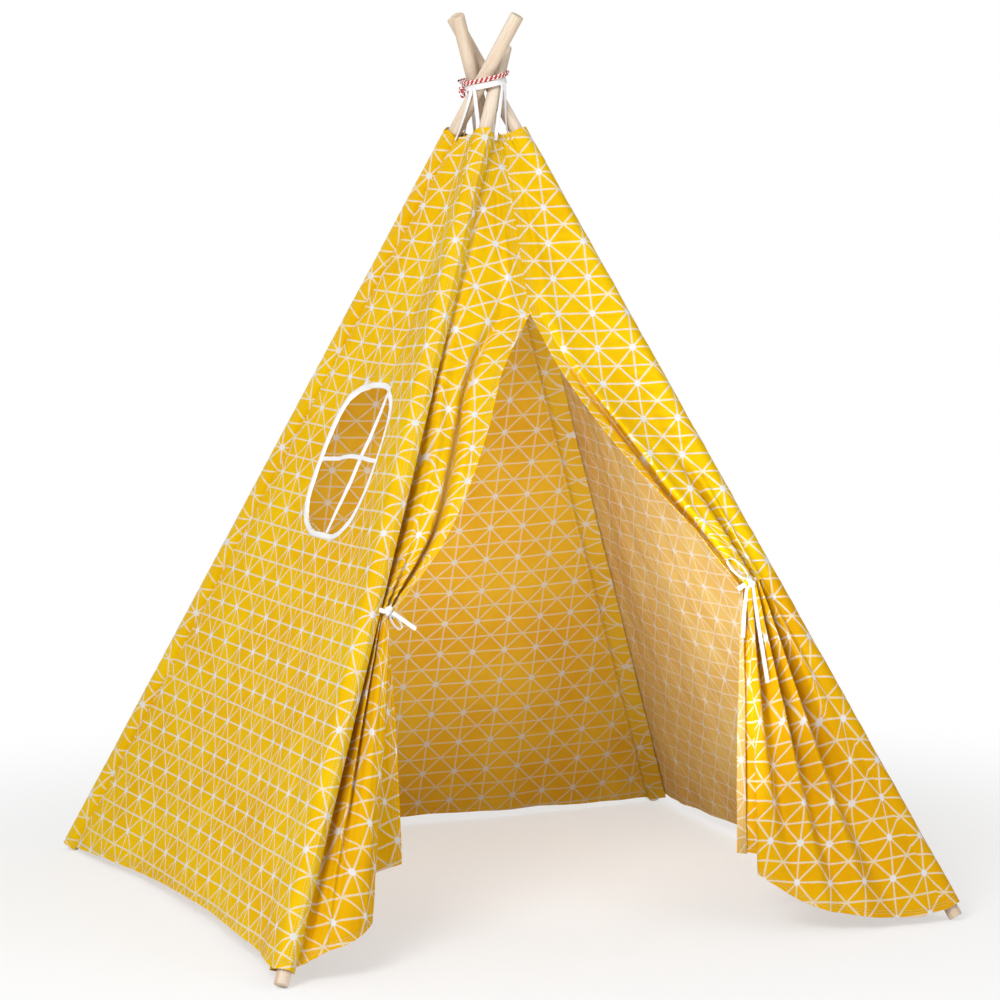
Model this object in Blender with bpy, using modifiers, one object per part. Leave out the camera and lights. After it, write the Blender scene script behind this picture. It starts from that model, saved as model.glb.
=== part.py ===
"""A kids teepee: four leaning poles lashed together near their tops, under a cotton cover.

The cover has three whole walls and a front that is slit up the middle. Each half of the front is drawn
aside to its pole and tied there with a ribbon. The left wall has a window with two crossed ribbons.

The frame is in metres, with +Z up, +X to the right and the door at -Y. The origin is on the floor, under
the crossing of the poles. A pole passes the tent's axis at a small distance, always on the same side, so
the four poles lie round the axis like a spiral and never meet while they fold together.
"""
import math

import bmesh
import bpy
from mathutils import Matrix, Vector

# Poles
FOOT_SPACING = 1.2
CROSSING_HEIGHT = 1.405
POLE_CLEARANCE = 0.00266
POLE_RADIUS = 0.012
POLE_LENGTH = 1.77
SHORT_POLE_LENGTH = 1.71
POLE_END_BEVEL = 0.001
POLE_SIDES = 20
LOWER_JOINT_STATION = 0.59
UPPER_JOINT_STATION = 1.18
FOLD_LIMIT = math.radians(29.0)

# Ferrules, each a tube with a stop ring between the two pole ends that it joins
FERRULE_LENGTH = 0.06
FERRULE_WALL = 0.001
FERRULE_STOP = 0.002
FERRULE_STOP_DEPTH = 0.004
FIT_GAP = 0.0003

# Cover
CLOTH = 0.0014
SLEEVE_WALL = 0.001
BACK_SLEEVE_START = 0.009
FRONT_SLEEVE_START = 0.025
SEAM_GAP = 0.0004
COVER_TOP_DROP = 0.083
BACK_HEM_HEIGHT = 0.013
FRONT_HEM_HEIGHT = 0.03
HEM_ARCH = 0.019
WALL_SAG = 0.034
WALL_COLUMNS = 10
WALL_ROWS = 10

# Window in the left wall
WINDOW_HEIGHT = 0.772
WINDOW_FORWARD = 0.006
WINDOW_WIDTH = 0.262
WINDOW_SLOPE_LENGTH = 0.274
WINDOW_SQUARENESS = 2.9
WINDOW_SIDES = 36
WINDOW_CUT_REACH = 0.2
BINDING_WIDTH = 0.009
BINDING_OVERHANG = 0.003
BINDING_CLEARANCE = 0.0008
TAPE = 0.001
WINDOW_RIBBON_WIDTH = 0.0075
WINDOW_RIBBON_STEPS = 8
UPRIGHT_TOP_FORWARD = 0.056
UPRIGHT_BOTTOM_FORWARD = 0.012
LEVEL_RIBBON_RISE = 0.008
WINDOW_RIBBON_CLEARANCE = 0.001

# Door
SLIT_TOP_HEIGHT = 1.02
LEFT_TIE_HEIGHT = 0.552
RIGHT_TIE_HEIGHT = 0.568
PANEL_COLUMNS = 20
PANEL_FLAT_ROWS = 3
PANEL_FOLDED_ROWS = 11
PANEL_FOLDS = 3
CURTAIN_COLUMNS = 24
CURTAIN_ROWS = 10
CURTAIN_FOLDS = 3
CURTAIN_FOLD_DEPTH = 0.020
CURTAIN_CLEARANCE = 0.0022
LEFT_GATHER = 0.018
RIGHT_GATHER = 0.036
GATHER_DEPTH = 0.010

# How far out from the centre seam each door edge runs, as shares of the way to the pole, at even steps
# from the slit's top down to the tie
LEFT_EDGE_SHARES = (0.0, 0.355, 0.478, 0.600, 0.738)
RIGHT_EDGE_SHARES = (0.0, 0.199, 0.407, 0.601, 0.778)

# Hems of the two tied curtains, at even steps from the pole to the free edge: a share of the way across
# to the centre seam, a distance in front of the straight line between the poles, and a height
LEFT_HEM_ACROSS_SHARES = (0.0, 0.10, 0.225, 0.30, 0.385)
LEFT_HEM_FORWARD = (0.0, 0.010, -0.014, -0.048, -0.128)
LEFT_HEM_HEIGHTS = (0.034, 0.052, 0.088, 0.135, 0.139)
RIGHT_HEM_ACROSS_SHARES = (0.0, 0.15, 0.32, 0.41, 0.48, 0.52, 0.515)
RIGHT_HEM_FORWARD = (0.0, 0.018, 0.018, 0.004, -0.016, -0.055, -0.132)
RIGHT_HEM_HEIGHTS = (0.026, 0.022, 0.030, 0.049, 0.075, 0.104, 0.113)

# A fold swells from nothing over the first share of the cloth beside the sleeve, and a panel's folds
# deepen towards the tie with a power of the way down. A hem's direction is read over a small share.
FOLD_START_SHARE = 0.12
FOLD_GROWTH = 1.5
HEM_READ_SHARE = 0.01

# Lashing round the crossing: a ribbon, turns of twine above it, and the twine's knot
RIBBON = 0.001
LASHING_RIBBON_WIDTH = 0.010
LASHING_CLEARANCE = 0.0005
LASHING_TILT = math.radians(12.0)
LASHING_SIDES = 40
TWINE_RADIUS = 0.0017
TWINE_TURNS = 2
TWINE_STEP = 0.0040
TWINE_POINTS_PER_TURN = 24
KNOT_SIZE = 0.0034
KNOT_POINTS = 36
KNOT_NEIGHBOURS = 6
KNOT_DIRECTION = math.radians(168.0)
KNOT_DROP = 0.004
FOLD_CHECK_STEPS = 12
RIM_POINTS = 24

# Ribbons from the cover's top corners up to the lashing
RIBBON_WIDTH = 0.007
TOP_TIE_OFFSET = 0.006
TOP_TIE_LIFT = 0.004
TOP_TIE_STEPS = 10
TOP_TIE_NEAR_SHARE = 0.22
TOP_TIE_FAR_SHARE = 0.48

# The ribbon loop that holds each gathered door, and its bow
TIE_BAND_WIDTH = 0.008
TIE_BAND_BEND_STEPS = 12
BOW_KNOT_RADIUS = 0.0065
BOW_KNOT_STRETCH = 1.35
BOW_KNOT_SIDES = 12
BOW_KNOT_BACK = 0.004
LOOP_FULLNESS_SHARE = 0.17
LOOP_STEPS = 16
LEFT_LOOP_LENGTH = 0.028
LEFT_LOOP_SLOPE = math.radians(-40.0)
LEFT_STUB_LENGTH = 0.046
LEFT_STUB_SLOPE = math.radians(-18.0)
RIGHT_LOOP_LENGTH = 0.045
RIGHT_LOOP_SLOPE = math.radians(71.0)
SHORT_TAIL_LENGTH = 0.085
SHORT_TAIL_ACROSS_SHARE = 0.92
LONG_TAIL_LENGTH = 0.172
LONG_TAIL_ACROSS_SHARE = 0.55
TAIL_STAND = 0.004
TAIL_SHIFT = 0.0042
TAIL_STEPS = 12

COVER_TOP_HEIGHT = CROSSING_HEIGHT - COVER_TOP_DROP
POLE_LEAN = math.atan2(FOOT_SPACING / math.sqrt(2), CROSSING_HEIGHT)
# Two neighbouring poles pass each other at the crossing with their named clearance
CROSSING_OFFSET = (
    (2 * POLE_RADIUS + POLE_CLEARANCE) * math.sqrt(1 + math.cos(POLE_LEAN) ** 2) / (2 * math.cos(POLE_LEAN)))
WALL_LEAN = math.atan2(FOOT_SPACING / 2, CROSSING_HEIGHT)
FERRULE_RADIUS = POLE_RADIUS + FIT_GAP + FERRULE_WALL
SLEEVE_BORE = FERRULE_RADIUS + FIT_GAP
SLEEVE_RADIUS = SLEEVE_BORE + SLEEVE_WALL
EDGE_REACH = SLEEVE_RADIUS + SEAM_GAP
BAND_BEND = GATHER_DEPTH + CLOTH + FIT_GAP + RIBBON / 2
MERGE = 0.00001
UP = Vector((0, 0, 1))
FRONT = Vector((0, -1, 0))

CORNERS = {
    "back_left": (-1, 1),
    "front_left": (-1, -1),
    "front_right": (1, -1),
    "back_right": (1, 1),
}
NEIGHBOURS = (
    ("back_left", "front_left", "side"),
    ("back_left", "back_right", "back"),
    ("front_left", "back_left", "side"),
    ("front_left", "front_right", "front"),
    ("front_right", "front_left", "front"),
    ("front_right", "back_right", "side"),
    ("back_right", "front_right", "side"),
    ("back_right", "back_left", "back"),
)

WOOD = ("pine", (0.74, 0.58, 0.42, 1.0), 0.55, 0.0)
COTTON = ("yellow_cotton", (0.90, 0.58, 0.05, 1.0), 0.85, 0.0)
WHITE_TAPE = ("white_tape", (0.86, 0.86, 0.85, 1.0), 0.8, 0.0)
TWINE = ("red_white_twine", (0.70, 0.20, 0.22, 1.0), 0.8, 0.0)
SOCKET = ("ferrule_plastic", (0.16, 0.16, 0.17, 1.0), 0.45, 0.0)
SHARP_ANGLE = math.radians(40)


def clear_scene():
    for item in list(bpy.data.objects):
        bpy.data.objects.remove(item)


def new_collection(name):
    collection = bpy.data.collections.new(name)
    bpy.context.scene.collection.children.link(collection)
    return collection


def material(finish):
    name, colour, roughness, metallic = finish
    found = bpy.data.materials.get(name)
    if found:
        return found
    made = bpy.data.materials.new(name)
    made.use_nodes = True
    shader = made.node_tree.nodes["Principled BSDF"]
    shader.inputs["Base Color"].default_value = colour
    shader.inputs["Roughness"].default_value = roughness
    shader.inputs["Metallic"].default_value = metallic
    return made


def standing(place, direction):
    """The matrix that puts a piece made along +Z at a place, along a direction."""
    return Matrix.Translation(place) @ direction.to_track_quat("Z", "Y").to_matrix().to_4x4()


def add_part(name, data, finish, parent, matrix=None):
    """A named part of the tent, hung on the empty at its joint's axis."""
    data.materials.append(material(finish))
    item = bpy.data.objects.new(name, data)
    PARTS.objects.link(item)
    if matrix:
        item.matrix_world = matrix
    if parent:
        item.parent = parent
        item.matrix_parent_inverse = parent.matrix_world.inverted()
    return item


def finished_mesh(work, name):
    mesh = bpy.data.meshes.new(name)
    work.to_mesh(mesh)
    work.free()
    mesh.shade_smooth()
    mesh.set_sharp_from_angle(angle=SHARP_ANGLE)
    return mesh


def joint_axis(name, place, direction):
    empty = bpy.data.objects.new(name, None)
    PARTS.objects.link(empty)
    empty.matrix_world = standing(place, direction)
    return empty


class Pole:
    """One pole's place: its pivot at the crossing, its axis, and points along it."""

    def __init__(self, corner):
        side_x, side_y = CORNERS[corner]
        self.radial = Vector((side_x, side_y, 0)).normalized()
        self.tangent = Vector((-self.radial.y, self.radial.x, 0))
        self.axis = UP * math.cos(POLE_LEAN) - self.radial * math.sin(POLE_LEAN)
        self.pivot = self.tangent * CROSSING_OFFSET + UP * CROSSING_HEIGHT
        ground = self.pivot - self.axis * (CROSSING_HEIGHT / math.cos(POLE_LEAN))
        self.foot = ground + self.axis * ((POLE_RADIUS - POLE_END_BEVEL) * math.tan(POLE_LEAN))
        self.length = SHORT_POLE_LENGTH if corner == "front_left" else POLE_LENGTH

    def at(self, station):
        """The point of the pole's axis at a distance from its foot."""
        return self.foot + self.axis * station

    def station_of(self, height):
        return (height - self.foot.z) / math.cos(POLE_LEAN)

    def across(self, other):
        """The unit vector square to this pole that points to another pole."""
        level = Vector((other.foot.x - self.foot.x, other.foot.y - self.foot.y, 0)).normalized()
        return (level - self.axis * level.dot(self.axis)).normalized()

    def edge(self, height, other):
        """Where the wall to another pole meets this pole's sleeve, at a height."""
        return self.at(self.station_of(height)) + self.across(other) * EDGE_REACH


def pole_section(name, start, end, pole, parent):
    """A round pole section between two stations, with softened ends."""
    work = bmesh.new()
    bmesh.ops.create_cone(
        work, cap_ends=True, segments=POLE_SIDES, radius1=POLE_RADIUS, radius2=POLE_RADIUS,
        depth=end - start)
    place = standing(pole.at((start + end) / 2), pole.axis)
    item = add_part(name, finished_mesh(work, name), WOOD, parent, place)
    bevel = item.modifiers.new("soft_ends", "BEVEL")
    bevel.width = POLE_END_BEVEL
    bevel.segments = 1
    bevel.limit_method = "ANGLE"


def turned_ring(name, profile, sides, matrix, finish, parent=None):
    """A closed profile of (radius, height) points, spun into a hollow ring."""
    work = bmesh.new()
    points = [work.verts.new((radius, 0, height)) for radius, height in profile]
    for first, second in zip(points, points[1:] + points[:1]):
        work.edges.new((first, second))
    mesh = bpy.data.meshes.new(name)
    work.to_mesh(mesh)
    work.free()
    item = add_part(name, mesh, finish, parent, matrix)
    screw = item.modifiers.new("spin", "SCREW")
    screw.axis = "Z"
    screw.angle = math.tau
    screw.steps = sides
    screw.render_steps = sides
    screw.use_merge_vertices = True
    screw.merge_threshold = MERGE
    screw.use_smooth_shade = True


def ferrule(name, pole, station, parent):
    half = FERRULE_LENGTH / 2
    stop = FERRULE_STOP / 2
    bore = POLE_RADIUS + FIT_GAP
    lip = bore - FERRULE_STOP_DEPTH
    profile = [
        (FERRULE_RADIUS, half), (FERRULE_RADIUS, -half), (bore, -half), (bore, -stop),
        (lip, -stop), (lip, stop), (bore, stop), (bore, half),
    ]
    turned_ring(name, profile, POLE_SIDES, standing(pole.at(station), pole.axis), SOCKET, parent)


def sleeve(name, pole, start, parent):
    half = (pole.station_of(COVER_TOP_HEIGHT) - start) / 2
    profile = [(SLEEVE_RADIUS, half), (SLEEVE_RADIUS, -half), (SLEEVE_BORE, -half), (SLEEVE_BORE, half)]
    turned_ring(
        name, profile, POLE_SIDES, standing(pole.at(start + half), pole.axis), COTTON, parent)


def sheet(name, columns, rows, place, parent, thickness=CLOTH, finish=COTTON, closed=False):
    """A sheet laid out by place(across, up), both from 0 to 1, with its real thickness."""
    work = bmesh.new()
    bmesh.ops.create_grid(work, x_segments=columns, y_segments=rows, size=1)
    for vert in work.verts:
        vert.co = place((vert.co.x + 1) / 2, (vert.co.y + 1) / 2)
    if closed:
        bmesh.ops.remove_doubles(work, verts=list(work.verts), dist=MERGE)
    item = add_part(name, finished_mesh(work, name), finish, parent)
    shell = item.modifiers.new("thickness", "SOLIDIFY")
    shell.thickness = thickness
    shell.offset = 0
    return item


class Wall:
    """A wall of the cover between two poles: a sheet that sags a little towards the inside."""

    def __init__(self, first, second, sag, first_hem, second_hem):
        self.first = first
        self.second = second
        self.first_hem = first_hem
        self.second_hem = second_hem
        out = (first.radial + second.radial).normalized()
        self.normal = out * math.cos(WALL_LEAN) + UP * math.sin(WALL_LEAN)
        self.sag = sag

    def point(self, across, height, stand=0):
        """A point of the wall, standing off it along its outward normal."""
        start = self.first.edge(height, self.second)
        end = self.second.edge(height, self.first)
        fullness = math.sqrt((CROSSING_HEIGHT - height) / CROSSING_HEIGHT)
        inward = self.sag * math.sin(math.pi * across) * fullness
        return start.lerp(end, across) - self.normal * (inward - stand)

    def cover_point(self, across, up):
        hem = self.first_hem + (self.second_hem - self.first_hem) * across
        hem += HEM_ARCH * math.sin(math.pi * across)
        return self.point(across, hem + (COVER_TOP_HEIGHT - hem) * up)

    def beside_window(self, along, rise, stand):
        """A point by its distances from the window's middle: forward, and up the slope."""
        height = WINDOW_HEIGHT + rise * math.cos(WALL_LEAN)
        back = self.first.edge(height, self.second).y
        front = self.second.edge(height, self.first).y
        across = ((back + front) / 2 - WINDOW_FORWARD - along - back) / (front - back)
        return self.point(across, height, stand)


def signed_power(value, power):
    return math.copysign(abs(value) ** power, value)


def window_point(wall, turn, grow, stand):
    """A point of the window's outline, a squared circle grown by a width."""
    power = 2 / WINDOW_SQUARENESS
    along = signed_power(math.cos(turn), power) * (WINDOW_WIDTH / 2 + grow)
    rise = signed_power(math.sin(turn), power) * (WINDOW_SLOPE_LENGTH / 2 + grow)
    return wall.beside_window(along, rise, stand)


def window_reach(length, share):
    """How far the window reaches from its middle along one side, at a share of the other side's half."""
    full = (1 - abs(share) ** WINDOW_SQUARENESS) ** (1 / WINDOW_SQUARENESS)
    return length / 2 * full - WINDOW_RIBBON_CLEARANCE


def cut_window(item, wall):
    work = bmesh.new()
    bmesh.ops.create_circle(work, cap_ends=True, segments=WINDOW_SIDES, radius=1)
    for vert in work.verts:
        vert.co = window_point(wall, math.atan2(vert.co.y, vert.co.x), 0, -WINDOW_CUT_REACH / 2)
    swept = bmesh.ops.extrude_face_region(work, geom=list(work.faces))
    moved = [part for part in swept["geom"] if isinstance(part, bmesh.types.BMVert)]
    bmesh.ops.translate(work, verts=moved, vec=wall.normal * WINDOW_CUT_REACH)
    bmesh.ops.recalc_face_normals(work, faces=list(work.faces))
    mesh = bpy.data.meshes.new("window_cutter")
    work.to_mesh(mesh)
    work.free()
    cutter = bpy.data.objects.new("window_cutter", mesh)
    cutter.hide_render = True
    cutter.display_type = "WIRE"
    CUTTERS.objects.link(cutter)
    cut = item.modifiers.new("window", "BOOLEAN")
    cut.operation = "DIFFERENCE"
    cut.object = cutter


def window_trim(wall, parent):
    """The white binding round the hole, and the two ribbons that cross in it."""
    stand = CLOTH / 2 + BINDING_CLEARANCE + TAPE / 2
    half = WINDOW_RIBBON_WIDTH / 2
    top = window_reach(WINDOW_SLOPE_LENGTH, (UPRIGHT_TOP_FORWARD + half) / (WINDOW_WIDTH / 2))
    bottom = -window_reach(WINDOW_SLOPE_LENGTH, (UPRIGHT_BOTTOM_FORWARD + half) / (WINDOW_WIDTH / 2))
    side = window_reach(WINDOW_WIDTH, (LEVEL_RIBBON_RISE + half) / (WINDOW_SLOPE_LENGTH / 2))

    def binding(across, up):
        return window_point(wall, math.tau * across, BINDING_WIDTH * up - BINDING_OVERHANG, stand)

    def upright(across, up):
        middle = UPRIGHT_BOTTOM_FORWARD + (UPRIGHT_TOP_FORWARD - UPRIGHT_BOTTOM_FORWARD) * up
        return wall.beside_window(middle + (2 * across - 1) * half, bottom + (top - bottom) * up, 0)

    def level(across, up):
        rise = (2 * up - 1) * LEVEL_RIBBON_RISE + (2 * across - 1) * half
        return wall.beside_window((2 * up - 1) * side, rise, -TAPE - FIT_GAP)

    sheet("window_binding", WINDOW_SIDES, 1, binding, parent, TAPE, WHITE_TAPE, closed=True)
    sheet("window_upright_ribbon", 1, WINDOW_RIBBON_STEPS, upright, parent, TAPE, WHITE_TAPE)
    sheet("window_level_ribbon", 1, WINDOW_RIBBON_STEPS, level, parent, TAPE, WHITE_TAPE)


def smooth_point(points, share):
    """A point of the smooth curve through points that stand at even shares."""
    last = len(points) - 1
    place = min(max(share, 0), 1) * last
    index = min(int(place), last - 1)
    step = place - index
    start = points[index]
    end = points[index + 1]
    before = points[index - 1] if index else start * 2 - end
    after = points[index + 2] if index + 2 <= last else end * 2 - start
    return (
        start
        + (end - before) * (step / 2)
        + (before * 2 - start * 5 + end * 4 - after) * (step ** 2 / 2)
        + (start * 3 - before - end * 3 + after) * (step ** 3 / 2)
    )


class Door:
    """One half of the slit front, drawn aside to its pole and tied."""

    def __init__(self, side, wall, pole, other, tie_height, gather, edge_shares, hem):
        self.side = side
        self.wall = wall
        self.pole = pole
        self.other = other
        self.gather = gather
        self.hem = hem
        self.inward = pole.across(other)
        self.forward = self.inward.cross(pole.axis)
        if self.forward.dot(FRONT) < 0:
            self.forward.negate()
        self.tie_station = pole.station_of(tie_height)
        self.panel_end = self.tie_station - TIE_BAND_WIDTH / 2
        self.band_reach = EDGE_REACH + gather - GATHER_DEPTH / 2
        self.edge_points = []
        for step, out in enumerate(edge_shares):
            down = step / len(edge_shares)
            height = SLIT_TOP_HEIGHT - (SLIT_TOP_HEIGHT - tie_height) * down
            self.edge_points.append(self.seam(height).lerp(self.pole.edge(height, self.other), out))
        self.edge_points.append(self.tied(1, self.panel_end))
        self.hem_points = []
        for out, ahead, height in zip(*self.hem):
            side_edge = self.pole.edge(height, self.other)
            self.hem_points.append(side_edge.lerp(self.seam(height), out) + FRONT * ahead)

    def seam(self, height):
        """The inner edge of this half, on the centre seam above the slit."""
        middle = self.wall.point(0.5, height)
        own_side = self.pole.edge(height, self.other) - middle
        return middle + own_side.normalized() * (SEAM_GAP / 2)

    def fold(self, across, folds, depth):
        """How far the pleated cloth stands off its middle surface."""
        swell = min(1, across / FOLD_START_SHARE) ** 2
        return math.sin(math.tau * folds * across) * depth * swell

    def tied(self, across, station):
        """A point of the pleated cloth where the ribbon draws it together."""
        reach = EDGE_REACH + self.gather * across
        wave = self.fold(across, PANEL_FOLDS, GATHER_DEPTH)
        return self.pole.at(station) + self.inward * reach + self.forward * wave

    def panel_point(self, across, up):
        """The half above the tie: flat above the slit, then drawn in between pole and door edge."""
        flat_share = PANEL_FLAT_ROWS / (PANEL_FLAT_ROWS + PANEL_FOLDED_ROWS)
        down = 1 - up
        if down <= flat_share:
            height = COVER_TOP_HEIGHT + (SLIT_TOP_HEIGHT - COVER_TOP_HEIGHT) * down / flat_share
            return self.pole.edge(height, self.other).lerp(self.seam(height), across)
        share = (down - flat_share) / (1 - flat_share)
        start = self.pole.station_of(SLIT_TOP_HEIGHT)
        station = start + (self.panel_end - start) * share
        outer = self.pole.at(station) + self.inward * EDGE_REACH
        inner = smooth_point(self.edge_points, share)
        wave = self.fold(across, PANEL_FOLDS, GATHER_DEPTH * share ** FOLD_GROWTH)
        return outer.lerp(inner, across) + self.forward * wave

    def hem_out(self, across):
        """The outward direction of the tied curtain's lower edge, seen from above."""
        ahead = smooth_point(self.hem_points, across + HEM_READ_SHARE)
        behind = smooth_point(self.hem_points, across - HEM_READ_SHARE)
        return (ahead - behind).cross(UP).normalized() * math.copysign(1, self.inward.x)

    def curtain_point(self, across, up):
        """The half below the tie: straight folds that fan out from the ribbon to the hem."""
        top = self.tied(across, self.panel_end - CURTAIN_CLEARANCE)
        wave = self.fold(across, CURTAIN_FOLDS, CURTAIN_FOLD_DEPTH)
        hem = smooth_point(self.hem_points, across) + self.hem_out(across) * wave
        return top.lerp(hem, 1 - up)

    def knot_place(self):
        """The middle of the bow's knot, in front of the tie band."""
        stand = BAND_BEND + RIBBON / 2 + FIT_GAP + BOW_KNOT_RADIUS
        reach = self.band_reach - BOW_KNOT_BACK
        return self.pole.at(self.tie_station) + self.inward * reach + self.forward * stand

    def beside_knot(self, heading):
        """A point beside the knot, where a ribbon starts that leaves it along a heading."""
        along = heading.dot(self.pole.axis)
        reach = BOW_KNOT_RADIUS * math.sqrt(1 - along ** 2 + (along * BOW_KNOT_STRETCH) ** 2)
        return self.knot_place() + heading * (reach + FIT_GAP)


def tube(name, points, radius, finish, cyclic=False):
    """A round tube through points: a curve with a bevel."""
    curve = bpy.data.curves.new(name, "CURVE")
    curve.dimensions = "3D"
    curve.bevel_depth = radius
    curve.bevel_resolution = 1
    curve.use_fill_caps = not cyclic
    line = curve.splines.new("POLY")
    line.points.add(len(points) - 1)
    for point, place in zip(line.points, points):
        point.co = (*place, 1)
    line.use_cyclic_u = cyclic
    add_part(name, curve, finish, None)


def least_gap(points, radius, neighbours):
    """The least clear distance between stretches of a tube that aren't neighbours, in millimetres."""
    count = len(points)
    gaps = [
        (points[other] - points[index]).length - 2 * radius
        for index in range(count)
        for other in range(index + neighbours, min(count, index + count - neighbours))
    ]
    return round(min(gaps) * 1000, 3)


def ring_reach(tilt, level):
    """The least radius, in the tilted plane at a level, that clears every pole at every fold."""
    normal = (tilt.to_3x3() @ UP).normalized()
    centre = tilt @ (UP * level)
    widest = 0
    for pole in poles.values():
        for step in range(FOLD_CHECK_STEPS + 1):
            axis = Matrix.Rotation(FOLD_LIMIT * step / FOLD_CHECK_STEPS, 3, pole.tangent) @ pole.axis
            steepness = axis.dot(normal)
            place = pole.pivot + axis * ((centre - pole.pivot).dot(normal) / steepness)
            long_side = (axis - normal * steepness).normalized() * (POLE_RADIUS / steepness)
            short_side = normal.cross(long_side).normalized() * POLE_RADIUS
            for point in range(RIM_POINTS):
                turn = math.tau * point / RIM_POINTS
                rim = place + long_side * math.cos(turn) + short_side * math.sin(turn)
                widest = max(widest, (rim - centre).length)
    return widest


def lashing(tilt):
    """The ribbon and the twine that hold the poles together, and the twine's knot."""
    half = LASHING_RIBBON_WIDTH / 2
    inner = max(ring_reach(tilt, half), ring_reach(tilt, -half)) + LASHING_CLEARANCE
    outer = inner + RIBBON
    turned_ring(
        "lashing_ribbon", [(outer, half), (outer, -half), (inner, -half), (inner, half)],
        LASHING_SIDES, tilt, WHITE_TAPE)

    low = half + FIT_GAP + TWINE_RADIUS
    turns = []
    for step in range(TWINE_TURNS * TWINE_POINTS_PER_TURN + 1):
        share = step / TWINE_POINTS_PER_TURN
        turn = math.tau * share + KNOT_DIRECTION
        level = low + TWINE_STEP * share
        reach = max(ring_reach(tilt, level + TWINE_RADIUS), ring_reach(tilt, level - TWINE_RADIUS))
        path = reach + LASHING_CLEARANCE + TWINE_RADIUS
        turns.append(tilt @ Vector((path * math.cos(turn), path * math.sin(turn), level)))
    tube("lashing_twine", turns, TWINE_RADIUS, TWINE)
    neighbours = TWINE_POINTS_PER_TURN // 2
    print("lashing_twine, least gap to itself in mm:", least_gap(turns, TWINE_RADIUS, neighbours))

    out = Vector((math.cos(KNOT_DIRECTION), math.sin(KNOT_DIRECTION), 0))
    side = UP.cross(out)
    centre = out * (outer + FIT_GAP + TWINE_RADIUS + KNOT_SIZE) - UP * KNOT_DROP
    knot = []
    for step in range(KNOT_POINTS):
        turn = math.tau * step / KNOT_POINTS
        along = math.sin(turn) + 2 * math.sin(2 * turn)
        rise = math.cos(turn) - 2 * math.cos(2 * turn)
        deep = -math.sin(3 * turn)
        knot.append(tilt @ (centre + (side * along + UP * rise + out * deep) * KNOT_SIZE))
    tube("lashing_knot", knot, TWINE_RADIUS, TWINE, cyclic=True)
    print("lashing_knot, least gap to itself in mm:", least_gap(knot, TWINE_RADIUS, KNOT_NEIGHBOURS))
    return outer


def ribbon(name, points, width, parent):
    """A flat ribbon along points, each paired with the direction of the ribbon's width."""
    steps = len(points) - 1

    def place(across, up):
        centre, side = points[round(up * steps)]
        return centre + side * ((across - 0.5) * width)

    sheet(name, 1, steps, place, parent, RIBBON, WHITE_TAPE)


def top_tie(name, pole, other, outer, tilt, parent):
    """A ribbon from the cover's top corner up to the outside of the lashing ribbon."""
    start = pole.at(pole.station_of(COVER_TOP_HEIGHT)) + pole.axis * TOP_TIE_LIFT
    low = start + pole.across(other) * (EDGE_REACH + TOP_TIE_OFFSET)
    far = other.at(other.station_of(COVER_TOP_HEIGHT)) + other.across(pole) * EDGE_REACH
    beside_pole = pole.tangent.dot(far - low) > 0
    aim = low.lerp(far, TOP_TIE_FAR_SHARE if beside_pole else TOP_TIE_NEAR_SHARE)
    out = Vector((aim.x, aim.y, 0)).normalized()
    reach = out * (outer + FIT_GAP + RIBBON)
    under = tilt @ (reach - UP * LASHING_RIBBON_WIDTH)
    clear = POLE_RADIUS + RIBBON_WIDTH / 2 + FIT_GAP
    centres = []
    for step in range(TOP_TIE_STEPS + 1):
        centre = low.lerp(under, step / TOP_TIE_STEPS)
        beside = pole.at((centre - pole.foot).dot(pole.axis))
        centres.append(beside + (centre - beside).normalized() * max(clear, (centre - beside).length))
    centres.append(tilt @ reach)
    points = [(centre, Vector((centre.y, -centre.x, 0)).normalized()) for centre in centres]
    ribbon(name, points, RIBBON_WIDTH, parent)


def tie_band(door, parent):
    """The ribbon loop round the gathered cloth, from the sleeve's front seam round to its back."""
    start = math.sqrt(SLEEVE_RADIUS ** 2 - (BAND_BEND - RIBBON) ** 2) + FIT_GAP * 2
    course = [(start, BAND_BEND)]
    for step in range(TIE_BAND_BEND_STEPS + 1):
        turn = math.pi / 2 - math.pi * step / TIE_BAND_BEND_STEPS
        course.append((door.band_reach + BAND_BEND * math.cos(turn), BAND_BEND * math.sin(turn)))
    course.append((start, -BAND_BEND))
    base = door.pole.at(door.tie_station)
    points = [(base + door.inward * reach + door.forward * stand, door.pole.axis) for reach, stand in course]
    ribbon(f"{door.side}_tie_band", points, TIE_BAND_WIDTH - FIT_GAP, parent)


def bow_knot(door, parent):
    """The small round knot at the inner end of a tie band."""
    work = bmesh.new()
    bmesh.ops.create_uvsphere(
        work, u_segments=BOW_KNOT_SIDES, v_segments=BOW_KNOT_SIDES // 2, radius=BOW_KNOT_RADIUS)
    bmesh.ops.scale(work, verts=list(work.verts), vec=(1, 1, BOW_KNOT_STRETCH))
    name = f"{door.side}_tie_knot"
    place = standing(door.knot_place(), door.pole.axis)
    add_part(name, finished_mesh(work, name), WHITE_TAPE, parent, place)


def bow_loop(name, door, length, slope, parent):
    """A ribbon loop that goes out from the knot and comes back to it, along the cover."""
    heading = door.inward * math.cos(slope) + door.pole.axis * math.sin(slope)
    lift = door.forward.cross(heading)
    start = door.beside_knot(heading)
    points = []
    for step in range(LOOP_STEPS + 1):
        turn = math.pi * (2 * step / LOOP_STEPS - 1)
        out = (1 + math.cos(turn)) / 2 * length
        swell = math.sin(turn) * length * LOOP_FULLNESS_SHARE
        gap = math.copysign(RIBBON, step - LOOP_STEPS / 2) if step != LOOP_STEPS / 2 else 0
        points.append((start + heading * out + lift * (swell + gap), door.forward))
    ribbon(name, points, RIBBON_WIDTH, parent)


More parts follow.
